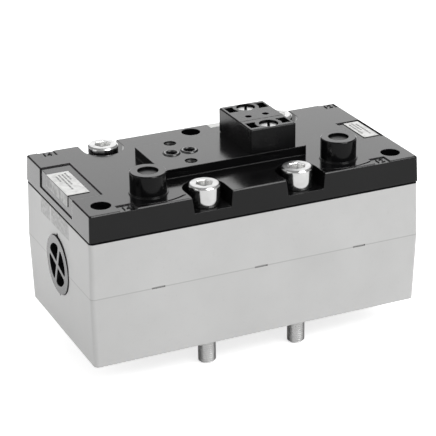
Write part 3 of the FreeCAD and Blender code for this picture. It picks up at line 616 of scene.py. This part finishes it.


# The cast paint gets painted shade in its crevices and between parts, and painted shade in its end bores.
CAST = CastPaint("cast_paint", Slot.CAST_BODY, (0.62, 0.62, 0.615), (0.575, 0.575, 0.57), 0.52,
                 cloud_mm=26.0, grain_mm=0.5, grain_depth_mm=0.012, edge_mm=0.4, crevice_mm=5.0,
                 crevice_alone=False, crevice_shade_tone=(0.14, 0.14, 0.14))
COVER = MouldedPlastic("cover_moulding", Slot.COVER_PLASTIC, (0.0045, 0.0045, 0.0048), (0.003, 0.003, 0.0032), 0.15,
                       roughness_spread=0.03, ior=1.39, edge_mm=0.45, dull_sides=0.2, dull_above_mm=83.3)
ADAPTER = MouldedPlastic("adapter_moulding", Slot.ADAPTER_PLASTIC, (0.005, 0.005, 0.0053),
                         (0.0035, 0.0035, 0.0037), 0.26, ior=1.36, edge_mm=0.35, dull_sides=0.2)
CAP = MouldedPlastic("cap_moulding", Slot.CAP_PLASTIC, (0.014, 0.014, 0.0145), (0.01, 0.01, 0.0103), 0.24,
                     ior=1.36, edge_mm=0.25)
BUTTON = MouldedPlastic("button_moulding", Slot.COVER_PLASTIC, (0.005, 0.005, 0.0053),
                        (0.0035, 0.0035, 0.0037), 0.42, ior=1.4, edge_mm=0.35)
RUBBER = Finish("nitrile", Slot.SEAL_RUBBER, (0.014, 0.014, 0.0145), (0.009, 0.009, 0.0095), 0.3,
                coat=0.5, coat_roughness=0.22, cloud_mm=4.0, grain_mm=0.2, grain_depth_mm=0.002)
GASKET = Finish("gasket_rubber", Slot.GASKET_SHEET, (0.003, 0.003, 0.003), (0.002, 0.002, 0.002), 0.8,
                specular=0.15, cloud_mm=6.0, grain_mm=0.3)
SPOOL_METAL = TurnedMetal("spool_anodised", Slot.SPOOL_METAL, (0.62, 0.63, 0.64), (0.55, 0.56, 0.57), 0.3,
                          metallic=1.0, cloud_mm=8.0, grain_mm=0.15, grain_depth_mm=0.001)
# The zinc's upper faces are painted darker as shade, and its sockets above 70 mm get painted shade.
ZINC = PlatedSteel("zinc_plating", Slot.ZINC_SCREW, (0.82, 0.82, 0.815), (0.72, 0.72, 0.715), 0.16,
                   metallic=1.0, cloud_mm=2.5, grain_mm=0.25, grain_depth_mm=0.003, edge_mm=0.15,
                   crevice_mm=4.0, crevice_from_mm=70.0, crevice_shade_tone=(0.12, 0.12, 0.12), top_roughness_and_shade=0.22)
OXIDE = PlatedSteel("black_oxide", Slot.BLACK_SCREW, (0.035, 0.035, 0.036), (0.02, 0.02, 0.021), 0.38,
                    metallic=0.8, cloud_mm=2.0, grain_mm=0.2, grain_depth_mm=0.003, edge_mm=0.15)
BUSH = TurnedMetal("turned_bush", Slot.INSERT_STEEL, (0.09, 0.09, 0.09), (0.06, 0.06, 0.06), 0.4,
                   metallic=1.0, cloud_mm=2.0, ring_mm=0.18, axis="Z", grain_mm=0.15, grain_depth_mm=0.002)
SPRING = PlatedSteel("spring_wire", Slot.SPRING_STEEL, (0.62, 0.62, 0.62), (0.45, 0.45, 0.45), 0.3,
                     metallic=1.0, cloud_mm=1.5, grain_mm=0.15, grain_depth_mm=0.002, edge_mm=0.05)
FILM = LabelFilm("silver_film", Slot.LABEL_FILM, (0.73, 0.73, 0.72), (0.65, 0.65, 0.64), 0.34,
                 specular=0.15, cloud_mm=5.0, grain_mm=0.6, grain_depth_mm=0.002, edge_mm=0.05)
INK = Finish("grey_ink", Slot.LABEL_FILM, (0.17, 0.17, 0.17), (0.12, 0.12, 0.12), 0.5,
             cloud_mm=1.0, grain_mm=0.2, grain_depth_mm=0.001, edge_mm=0.02)
MARKING = Finish("raised_marking", Slot.COVER_PLASTIC, (0.012, 0.012, 0.0125), (0.008, 0.008, 0.0083), 0.7,
                 cloud_mm=2.0, grain_mm=0.3, grain_depth_mm=0.002, edge_mm=0.08)


def turned(outline: Outline, steps: int = 48, ring: bool = False) -> BMesh:
    """Turns an outline about the upright axis.

    Args:
        outline: Points of radius and height in millimetres. A solid's outline starts and ends on
            the axis, and a ring's outline is closed by itself.
        steps: How many faces go round.
        ring: Whether the outline is a closed ring's.

    Returns:
        The closed mesh.
    """
    mesh = bmesh.new()
    corners = [mesh.verts.new((radius, 0.0, height)) for radius, height in outline]
    ends = corners[1:] + corners[:1] if ring else corners[1:]
    edges = [mesh.edges.new(pair) for pair in zip(corners, ends)]
    bmesh.ops.spin(mesh, geom=corners + edges, cent=(0, 0, 0), axis=(0, 0, 1), dvec=(0, 0, 0),
                   angle=math.tau, steps=steps, use_merge=True)
    bmesh.ops.remove_doubles(mesh, verts=mesh.verts, dist=MERGE_MM)
    bmesh.ops.recalc_face_normals(mesh, faces=mesh.faces)
    return mesh


def coiled(profile: Outline, pitch: float, low: float, high: float, steps_a_turn: int = 30) -> BMesh:
    """Runs a closed profile round the upright axis on a screw line.

    Args:
        profile: Points of radius and height in millimetres, about height 0.
        pitch: How far the profile climbs in one turn.
        low: The height that it starts at.
        high: The height that it ends at.
        steps_a_turn: How many faces one turn has.

    Returns:
        The closed mesh.
    """
    mesh = bmesh.new()
    corners = [mesh.verts.new((radius, 0.0, low + height)) for radius, height in profile]
    edges = [mesh.edges.new(pair) for pair in zip(corners, corners[1:] + corners[:1])]
    turns = (high - low) / pitch
    steps = round(turns * steps_a_turn)
    bmesh.ops.spin(mesh, geom=corners + edges, cent=(0, 0, 0), axis=(0, 0, 1),
                   dvec=(0, 0, (high - low) / steps), angle=math.tau * turns, steps=steps)
    bmesh.ops.holes_fill(mesh, edges=[edge for edge in mesh.edges if edge.is_boundary], sides=0)
    bmesh.ops.recalc_face_normals(mesh, faces=mesh.faces)
    return mesh


def softened(mesh: BMesh, offset: float, segments: int = 2) -> BMesh:
    """Rounds a mesh's sharp edges.

    Args:
        mesh: The mesh to work on.
        offset: How far back from each edge the rounding starts, in millimetres.
        segments: How many faces the rounding has.

    Returns:
        The same mesh.
    """
    sharp = [edge for edge in mesh.edges if edge.is_manifold and edge.calc_face_angle() > SMOOTH_ANGLE]
    bmesh.ops.bevel(mesh, geom=sharp, offset=offset, offset_type="OFFSET", affect="EDGES", segments=segments,
                    profile=0.5, material=-1, clamp_overlap=True)
    return mesh


def joined(mesh: BMesh, other: BMesh) -> BMesh:
    """Puts a second mesh into the first.

    Args:
        mesh: The mesh to add to.
        other: The mesh to add, which is freed.

    Returns:
        The first mesh.
    """
    scratch = bpy.data.meshes.new("scratch")
    other.to_mesh(scratch)
    other.free()
    mesh.from_mesh(scratch)
    bpy.data.meshes.remove(scratch)
    return mesh


def six_sided(verts: Iterable[BMVert], across_flats: float) -> None:
    """Moves round walls on to a hexagon with two corners on the X axis.

    Args:
        verts: The walls' corners, about the upright axis.
        across_flats: The hexagon's width in millimetres.
    """
    for vert in verts:
        angle = math.atan2(vert.co.y, vert.co.x) % (math.pi / 3) - math.pi / 6
        vert.co.xy = vert.co.xy.normalized() * (across_flats / 2 / math.cos(angle))


def placed(mesh: BMesh, place: Place, lie: Lie = Lie.UPRIGHT) -> BMesh:
    """Turns a mesh to how it lies and moves it to its place.

    Args:
        mesh: A mesh about the upright axis.
        place: Where its origin goes, in millimetres.
        lie: Which way its axis lies.

    Returns:
        The same mesh.
    """
    if lie is Lie.ALONG_SPOOL:
        bmesh.ops.rotate(mesh, verts=mesh.verts, cent=(0, 0, 0), matrix=Matrix.Rotation(math.pi / 2, 3, "Y"))
    bmesh.ops.translate(mesh, verts=mesh.verts, vec=place)
    return mesh


def add_object(name: str, data: ID) -> Object:
    """Puts a new object into the scene.

    Args:
        name: Its name.
        data: Its mesh, text, lamp or camera.

    Returns:
        The object.
    """
    made = bpy.data.objects.new(name, data)
    bpy.context.scene.collection.objects.link(made)
    return made


def new_piece(name: str, mesh: BMesh, finish: Finish, nodes: Sequence[str] = (),
              body: Body = Body.HOUSING) -> Object:
    """Makes a finished piece of a mesh.

    Args:
        name: The piece's name.
        mesh: Its mesh in millimetres, already in place, which is freed.
        finish: Its finish.
        nodes: The model's nodes that it stands for.
        body: The body that it moves with.

    Returns:
        The piece.
    """
    bmesh.ops.scale(mesh, verts=mesh.verts, vec=(MM, MM, MM))
    for face in mesh.faces:
        face.smooth = True
    for edge in mesh.edges:
        edge.smooth = edge.is_manifold and edge.calc_face_angle() < SMOOTH_ANGLE
    data = bpy.data.meshes.new(name)
    mesh.to_mesh(data)
    mesh.free()
    data.materials.append(finish.material())
    piece = add_object(name, data)
    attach(piece, body.value)
    if nodes:
        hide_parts(*nodes)
    log.info("%s: %d faces, %s, on %s", name, len(data.polygons), finish.label, body.value)
    return piece


def dress(node: str, finish: Finish) -> None:
    """Gives one of the model's own nodes a finish.

    Args:
        node: The node's name.
        finish: The finish.
    """
    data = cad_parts[node].data
    data.materials.clear()
    data.materials.append(finish.material())
    log.info("%s: the model's own solid, %s", node, finish.label)


@dataclass(frozen=True)
class Lamp:
    """A soft four-sided lamp that looks at the valve, with its lengths in metres."""

    name: str
    place: Place
    size: Pair
    watts: float
    aim: Place = (0.0, 0.0, 0.05)

    def build(self) -> None:
        """Hangs the lamp."""
        data = bpy.data.lights.new(self.name, "AREA")
        data.shape = "RECTANGLE"
        data.size, data.size_y = self.size
        data.energy = self.watts
        lamp = add_object(self.name, data)
        lamp.location = self.place
        lamp.rotation_mode = "QUATERNION"
        lamp.rotation_quaternion = (Vector(self.aim) - Vector(self.place)).to_track_quat("-Z", "Y")


@dataclass
class Stage:
    """The pale floor, the white surroundings and the soft lamps, with their lengths in metres."""

    floor_size: float = 6.0
    floor_tone: float = 0.74
    floor_mottle: float = 1.02
    floor_cloud_mm: float = 30.0
    floor_glow: float = 0.74
    mirrored_span: Pair = (-0.08, 0.1)
    mirrored_floor: Pair = (0.065, 1.35)
    mirrored_sky: float = 0.35
    shade_edge: float = 0.01
    strip_width: float = 0.03
    strip_core: float = 0.6
    strip_glow: float = 0.45
    ambient: float = 0.42
    lamps: Sequence[Lamp] = (Lamp("key", (0.55, -1.0, 1.4), (1.0, 1.0), 20.6),
                             Lamp("left", (-1.5, -0.1, 0.75), (0.9, 0.9), 3.8),
                             Lamp("back", (0.65, 1.59, 0.95), (1.6, 1.7), 13.6))

    def build(self) -> None:
        """Makes the floor, the world and the lamps."""
        self.floor()
        self.surroundings()
        for lamp in self.lamps:
            lamp.build()

    def floor(self) -> None:
        """Lays the floor, which shows white but keeps the valve's shadow, and glows for mirrored rays as a painted
        reflection: brighter behind the valve, with a painted shadow under it and a glowing strip in front.
        """
        mesh = bmesh.new()
        bmesh.ops.create_grid(mesh, x_segments=1, y_segments=1, size=self.floor_size)
        data = bpy.data.meshes.new("floor")
        mesh.to_mesh(data)
        mesh.free()
        paper = bpy.data.materials.new("floor_paper")
        sheet = ShaderSheet(paper)
        grain = sheet.level(sheet.noise(self.floor_cloud_mm), *CLOUD_SPAN)
        tone = self.floor_tone
        seen, mirrored = sheet.rays()
        # Painted reflection: for mirrored rays the floor glows, dim in front and bright behind, with a painted
        # shadow under the valve and a glowing strip in front of it.
        bright = sheet.level(sheet.along("Y"), *self.mirrored_span, *self.mirrored_floor)
        bright = sheet.calc("MULTIPLY", bright, self.mirror_shadow_mask(sheet))
        bright = sheet.calc("ADD", bright, self.near_strip(sheet))
        glow = sheet.calc("ADD", sheet.calc("MULTIPLY", seen, self.floor_glow),
                          sheet.calc("MULTIPLY", mirrored, bright))
        sheet.feed(sheet.shader, {"Base Color": sheet.between(grain, (tone,) * 3, (tone * self.floor_mottle,) * 3),
                                  "Roughness": 0.9, "Emission Color": WHITE, "Emission Strength": glow})
        data.materials.append(paper)
        add_object("floor", data)

    def mirror_shadow_mask(self, sheet: ShaderSheet) -> NodeSocket:
        """Gives 0 on the floor under the valve and 1 around it, which paints a shadow into the floor's glow in
        mirrors.

        Args:
            sheet: The floor's node tree.

        Returns:
            The value's socket.
        """
        past = [sheet.calc("SUBTRACT", sheet.calc("ABSOLUTE", sheet.along(axis)), half)
                for axis, half in zip("XY", CAD_BOX[1])]
        return sheet.level(sheet.calc("MAXIMUM", *past), -self.shade_edge, 0.0)

    def near_strip(self, sheet: ShaderSheet) -> NodeSocket:
        """Gives the glow of the floor just in front of the valve, which only the threaded ends mirror.

        Args:
            sheet: The floor's node tree.

        Returns:
            The value's socket.
        """
        depth = sheet.along("Y")
        front = CAD_BOX[0][1]
        near = sheet.level(depth, front - self.strip_width, front - self.strip_width * self.strip_core,
                           high=self.strip_glow)
        return sheet.calc("MULTIPLY", near, sheet.level(depth, front, front + self.shade_edge, 1.0, 0.0))

    def surroundings(self) -> None:
        """Makes the world white where it is seen, and softer as a light and in mirrors."""
        world = bpy.data.worlds.new("surroundings")
        bpy.context.scene.world = world
        sheet = ShaderSheet(world, "Background")
        seen, mirrored = sheet.rays()
        strength = sheet.level(seen, 0.0, 1.0, sheet.level(mirrored, 0.0, 1.0, self.ambient, self.mirrored_sky))
        sheet.feed(sheet.shader, {"Color": WHITE, "Strength": strength})


@dataclass
class PhotoCamera:
    """The camera where the photograph was taken from, with its turns in degrees."""

    azimuth: float = -24.45
    elevation: float = 23.29
    roll: float = -0.72
    eye: Place = (-0.2970, -0.6491, 0.3601)
    lens_mm: float = 141.8
    clip: Pair = (0.01, 50.0)

    def build(self) -> None:
        """Makes the camera and hands it to the scene."""
        turns = ((self.azimuth, "Z"), (90 - self.elevation, "X"), (self.roll, "Z"))
        azimuth, tilt, roll = (Matrix.Rotation(math.radians(turn), 3, axis) for turn, axis in turns)
        data = bpy.data.cameras.new("photo_camera")
        data.lens = self.lens_mm
        data.clip_start, data.clip_end = self.clip
        camera = add_object("photo_camera", data)
        camera.rotation_mode = "QUATERNION"
        camera.rotation_quaternion = (azimuth @ tilt @ roll).to_quaternion()
        camera.location = self.eye
        bpy.context.scene.camera = camera


@dataclass
class Housing:
    """The cast body with its cover, gasket and base seal."""

    def build(self) -> None:
        """Gives each solid its finish."""
        dress("body", CAST)
        dress("cover", COVER)
        dress("cover_gasket", GASKET)
        dress("base_seal", RUBBER)


@dataclass
class SocketScrews:
    """A set of socket-head screws, all of one size, in millimetres."""

    name: str
    node: str
    finish: Finish
    places: Sequence[Place]
    diameter: float
    length: float
    head_diameter: float
    head_height: float
    head_edge: float
    key: float
    key_depth: float
    pitch: float
    thread: float
    tip: float = 0.9
    tip_slope: float = 1.1
    neck: float = 0.6
    seat_edge: float = 0.3
    key_edge: float = 0.3
    key_point: float = 0.7
    sunk: float = 0.1
    rounding: float = 0.12
    near: float = 0.01

    def build(self) -> None:
        """Makes every screw, and lets the first stand for the node."""
        for number, place in enumerate(self.places, start=1):
            new_piece(f"{self.name}_{number}", placed(self.screw(), place), self.finish,
                      [self.node] if number == 1 else [])

    def screw(self) -> BMesh:
        """Makes one screw about its seat: shank, cut thread, head and six-sided socket.

        Returns:
            The screw's mesh.
        """
        radius, head, top = self.diameter / 2, self.head_diameter / 2, self.head_height
        core = radius - THREAD_DEPTH * self.pitch
        corner = self.key / math.sqrt(3)
        run_out = self.thread - self.length
        rim = corner + self.key_edge
        floor = top - self.key_depth
        outline = [(0, -self.length), (core - self.tip / 2, -self.length), (core, self.tip / 2 - self.length),
                   (core, run_out), (radius, run_out + self.neck), (radius, 0), (head - self.seat_edge, 0),
                   (head, self.seat_edge), (head, top - self.head_edge), (head - self.head_edge, top), (rim, top),
                   (corner, top - self.key_edge), (corner, floor), (0, floor - self.key_point)]
        mesh = turned(outline, steps=60)
        for wall in (corner, rim):
            verts = [vert for vert in mesh.verts
                     if vert.co.z > floor - self.near and abs(vert.co.xy.length - wall) < self.near]
            six_sided(verts, wall * math.sqrt(3))
        return joined(softened(mesh, self.rounding), self.ridge(core, radius, run_out))

    def ridge(self, core: float, crest: float, run_out: float) -> BMesh:
        """Makes the thread's ridge, which thins out at the screw's pointed tip.

        Args:
            core: The radius at the thread's root.
            crest: The radius at its crest.
            run_out: The height where the thread ends.

        Returns:
            The ridge's mesh.
        """
        root, flat = THREAD_ROOT * self.pitch, THREAD_CREST * self.pitch
        profile = [(core - self.sunk, -root), (crest, -flat), (crest, flat), (core - self.sunk, root)]
        mesh = coiled(profile, self.pitch, THREAD_START * self.pitch - self.length,
                      run_out - THREAD_STOP * self.pitch)
        for vert in mesh.verts:
            rise = max(0.0, vert.co.z + self.length)
            limit = core - self.tip / 2 + self.tip_slope * rise
            if vert.co.xy.length > limit:
                vert.co.xy = vert.co.xy.normalized() * limit
        return mesh


@dataclass
class PilotInterface:
    """The two pilot interfaces on the platform: inserts, open seals, the adapter and its screws."""

    centres: Pair = (-18.8, 18.8)
    row_y: float = 2.0
    insert_spacing: float = 23.5
    port_spacing: float = 8.5
    insert_top: float = 86.8
    insert_length: float = 7.0
    insert_radius: float = 2.8
    insert_bore: float = 2.35
    insert_edge: float = 0.25
    thread_pitch: float = 0.7
    thread_crest: float = 2.03
    thread_root_half: float = 0.3
    thread_flat_half: float = 0.06
    thread_sunk: float = 0.05
    thread_ends: float = 0.5
    seal_seat: float = 86.2
    seal_outline: Outline = ((2.3, 0), (3.88, 0), (3.88, 0.95), (3.7, 1.3), (3.35, 1.7), (3.0, 1.8), (2.65, 1.7),
                             (2.35, 1.35), (2.3, 1.0))
    seal_rounding: float = 0.1

    def build(self) -> None:
        """Makes the inserts and the open seals, and dresses the adapter."""
        for number, (x, step) in enumerate(product(self.centres, (-1, 1)), start=1):
            place = (x, self.row_y + step * self.insert_spacing / 2, self.insert_top)
            new_piece(f"threaded_insert_{number}", placed(self.insert(), place), BUSH,
                      ["threaded_inserts"] if number == 1 else [])
        for step, label in ((1, "inner"), (-1, "outer")):
            place = (self.centres[0] + step * self.port_spacing / 2, self.row_y, self.seal_seat)
            new_piece(f"port_seal_{label}", placed(self.open_seal(), place), RUBBER,
                      [f"open_port_seal_{label}"])
            dress(f"adapter_seal_{label}", RUBBER)
        dress("pilot_adapter", ADAPTER)
        dress("adapter_screws", ZINC)

    def insert(self) -> BMesh:
        """Makes a threaded bush about its upper face.

        Returns:
            The bush's mesh.
        """
        bore, low = self.insert_bore, -self.insert_length
        outline = [(bore, low), (self.insert_radius, low), (self.insert_radius, 0), (bore + self.insert_edge, 0),
                   (bore, -self.insert_edge)]
        mesh = turned(outline, steps=40, ring=True)
        root, half, flat = bore + self.thread_sunk, self.thread_root_half, self.thread_flat_half
        profile = [(root, -half), (root, half), (self.thread_crest, flat), (self.thread_crest, -flat)]
        return joined(mesh, coiled(profile, self.thread_pitch, low + self.thread_ends, -self.thread_ends,
                                   steps_a_turn=24))

    def open_seal(self) -> BMesh:
        """Makes an open port's seal about its seat: a flat foot and a proud rounded lip.

        Returns:
            The seal's mesh.
        """
        return softened(turned(self.seal_outline, ring=True), self.seal_rounding)


@dataclass
class OverrideTowers:
    """The buttons in the two towers, with the springs and seals that belong to them."""

    tower_x: float = 45.5
    tower_y: float = -25.2
    body_top: float = 70.4
    collar_bottom: float = 85.1
    seal_low: float = 89.3
    seal_height: float = 1.4
    seal_rounding: float = 0.35
    button_radius: float = 4.45
    groove_depth: float = 0.9
    spring_radius: float = 4.05
    wire: float = 0.9
    wire_sides: int = 10
    spring_pitch: float = 4.0
    ground_off: float = 0.6
    travel: float = 2.5

    def build(self) -> None:
        """Dresses both buttons, and makes their springs and seals."""
        for side, name, body in ((-1, "left", Body.LEFT_BUTTON), (1, "right", Body.RIGHT_BUTTON)):
            place = (side * self.tower_x, self.tower_y, 0.0)
            dress(f"{name}_override_button", BUTTON)
            new_piece(f"{name}_button_ring", placed(self.seal(), place), RUBBER,
                      [f"{name}_button_seal"], body)
            spring = new_piece(f"{name}_return_spring", placed(self.spring(), place), SPRING,
                               [f"{name}_button_spring"])
            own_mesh(spring)

    def seal(self) -> BMesh:
        """Makes the ring in a button's groove.

        Returns:
            The ring's mesh, at its height.
        """
        low, high = self.seal_low, self.seal_low + self.seal_height
        inner, outer = self.button_radius - self.groove_depth, self.button_radius
        outline = [(inner, low), (outer, low), (outer, high), (inner, high)]
        return softened(turned(outline, ring=True), self.seal_rounding, segments=4)

    def spring(self) -> BMesh:
        """Makes a round-wire spring, ground flat at both ends.

        Returns:
            The spring's mesh, at its height.
        """
        half = self.wire / 2
        profile = [(self.spring_radius + half * math.cos(turn), half * math.sin(turn))
                   for turn in (math.tau * step / self.wire_sides for step in range(self.wire_sides))]
        mesh = coiled(profile, self.spring_pitch, self.body_top - self.ground_off,
                      self.collar_bottom + self.ground_off)
        for height, upward in ((self.body_top, -1), (self.collar_bottom, 1)):
            bmesh.ops.bisect_plane(mesh, geom=mesh.verts[:] + mesh.edges[:] + mesh.faces[:],
                                   plane_co=(0, 0, height), plane_no=(0, 0, upward), clear_outer=True)
            bmesh.ops.holes_fill(mesh, edges=[edge for edge in mesh.edges if edge.is_boundary], sides=0)
        bmesh.ops.recalc_face_normals(mesh, faces=mesh.faces)
        return mesh


@dataclass
class SpoolSet:
    """The turned spool and its six ring seals."""

    seal_places: Sequence[float] = (-56.0, -37.0, -9.0, -1.0, 27.0, 46.0)
    seal_width: float = 2.4
    outer: float = 9.0
    inner: float = 7.0
    lip_width: float = 0.5
    lip_height: float = 0.35
    hollow: float = 0.25
    rounding: float = 0.12

    def build(self) -> None:
        """Dresses the spool and makes its seals."""
        dress("spool", SPOOL_METAL)
        for number, x in enumerate(self.seal_places, start=1):
            mesh = placed(self.seal(), (x, 0.0, SPOOL_AXIS_MM), Lie.ALONG_SPOOL)
            new_piece(f"spool_ring_{number}", mesh, RUBBER, [f"spool_seal_{number}"], Body.SPOOL_SET)

    def seal(self) -> BMesh:
        """Makes a ring seal with a hollow between its two lips.

        Returns:
            The ring's mesh about its middle.
        """
        half, outer = self.seal_width / 2, self.outer
        outline = [(self.inner, -half), (outer - self.lip_width, -half), (outer, self.lip_height - half),
                   (outer - self.hollow, 0), (outer, half - self.lip_height), (outer - self.lip_width, half),
                   (self.inner, half)]
        return softened(turned(outline, steps=64, ring=True), self.rounding)


@dataclass
class EndCaps:
    """The two end caps and the rings that seal them."""

    seal_low: float = 68.0
    seal_width: float = 2.6
    outer: float = 13.5
    inner: float = 11.6
    rounding: float = 0.8

    def build(self) -> None:
        """Dresses the caps and makes their rings."""
        for side, name in ((-1, "left"), (1, "right")):
            dress(f"{name}_end_cap", CAP)
            half = self.seal_width / 2
            outline = [(self.inner, -half), (self.outer, -half), (self.outer, half), (self.inner, half)]
            mesh = softened(turned(outline, steps=72, ring=True), self.rounding, segments=5)
            place = (side * (self.seal_low + half), 0.0, SPOOL_AXIS_MM)
            new_piece(f"{name}_cap_ring", placed(mesh, place, Lie.ALONG_SPOOL), RUBBER,
                      [f"{name}_cap_seal"])


@dataclass
class Labels:
    """The three film labels, with faint rows of plain grey dashes for print.

    A row of dashes has its place along X, and its start and end along Y.
    """

    film_top: float = 82.95
    print_height: float = 0.02
    dash_width: float = 0.85
    dash_lengths: Sequence[float] = (1.1, 0.6, 1.6, 0.9, 0.5, 1.3)
    dash_gap: float = 0.4
    left_rows: Sequence[Row] = ((-74.6, 3.0, 10.8), (-73.0, -7.5, 11.4), (-71.4, -2.0, 11.0), (-69.8, 3.5, 11.6))
    right_rows: Sequence[Row] = ((70.2, -3.0, 10.0), (71.9, 1.0, 10.6), (73.6, -4.5, 9.4))

    def build(self) -> None:
        """Dresses the films and lays the print on them."""
        for name in ("left_label", "right_label", "back_label"):
            dress(name, FILM)
        for name, rows in (("left", self.left_rows), ("right", self.right_rows)):
            first, *others = [self.row(*row) for row in rows]
            for other in others:
                joined(first, other)
            new_piece(f"{name}_label_print", first, INK)

    def row(self, x: float, start: float, end: float) -> BMesh:
        """Makes one row of dashes that runs from the front to the back.

        Args:
            x: The row's middle.
            start: Where it starts.
            end: Where it ends.

        Returns:
            The row's mesh.
        """
        mesh = bmesh.new()
        y = start
        for length in cycle(self.dash_lengths):
            if y + length >= end:
                return mesh
            made = bmesh.ops.create_cube(mesh, size=1.0)["verts"]
            bmesh.ops.scale(mesh, verts=made, vec=(self.dash_width, length, self.print_height))
            bmesh.ops.translate(mesh, verts=made, vec=(x, y + length / 2, self.film_top + self.print_height / 2))
            y += length + self.dash_gap


@dataclass
class Numbers:
    """The plain side numbers, raised in the four sunk places of the cover."""

    floor: float = 82.7
    height: float = 0.3
    size: float = 4.6
    places: Sequence[tuple[str, str, float, float]] = (
        ("front_left", "14", -60.2, -36.6), ("front_right", "12", 60.2, -36.6),
        ("back_left", "14", -69.0, 36.4), ("back_right", "12", 73.3, 36.4))

    def build(self) -> None:
        """Makes each number."""
        for label, words, x, y in self.places:
            new_piece(f"number_{label}", placed(self.figures(words), (x, y, self.floor)), MARKING)

    def figures(self, words: str) -> BMesh:
        """Makes raised figures about the middle of their foot.

        Args:
            words: The figures.

        Returns:
            Their mesh in millimetres.
        """
        curve = bpy.data.curves.new("figures", "FONT")
        curve.body = words
        curve.size = self.size
        curve.extrude = self.height / 2
        curve.align_x, curve.align_y = "CENTER", "CENTER"
        curve.resolution_u = 4
        writing = add_object("figures", curve)
        shape = writing.evaluated_get(bpy.context.evaluated_depsgraph_get())
        mesh = bmesh.new()
        mesh.from_mesh(shape.to_mesh())
        bpy.data.objects.remove(writing)
        bmesh.ops.remove_doubles(mesh, verts=mesh.verts, dist=MERGE_MM)
        bmesh.ops.translate(mesh, verts=mesh.verts, vec=(0, 0, self.height / 2))
        return mesh


def main() -> None:
    """Builds the stage, the camera and every part of the valve."""
    logging.basicConfig(level=logging.INFO, format="%(message)s")
    bpy.context.scene.view_settings.view_transform = "Standard"
    seat, well = 76.0, 75.0
    parts = [
        Stage(),
        PhotoCamera(),
        Housing(),
        SocketScrews("mounting_screw", "mounting_screws", ZINC,
                     [(-22.1, -30.8, seat), (22.1, -30.8, seat), (-44.0, 32.0, seat), (44.0, 32.0, seat)],
                     diameter=8.0, length=76.0, head_diameter=13.9, head_height=9.3, head_edge=0.8,
                     key=6.5, key_depth=4.5, pitch=1.0, thread=16.0),
        SocketScrews("cover_screw", "cover_screws", OXIDE,
                     [(-69.1, -30.3, well), (69.1, -30.3, well), (0.0, 33.3, well)],
                     diameter=5.0, length=16.0, head_diameter=8.5, head_height=4.6, head_edge=0.4,
                     key=4.0, key_depth=2.4, pitch=0.8, thread=11.0),
        PilotInterface(),
        OverrideTowers(),
        SpoolSet(),
        EndCaps(),
        Labels(),
        Numbers(),
    ]
    for part in parts:
        part.build()


if __name__ == "__main__":
    main()
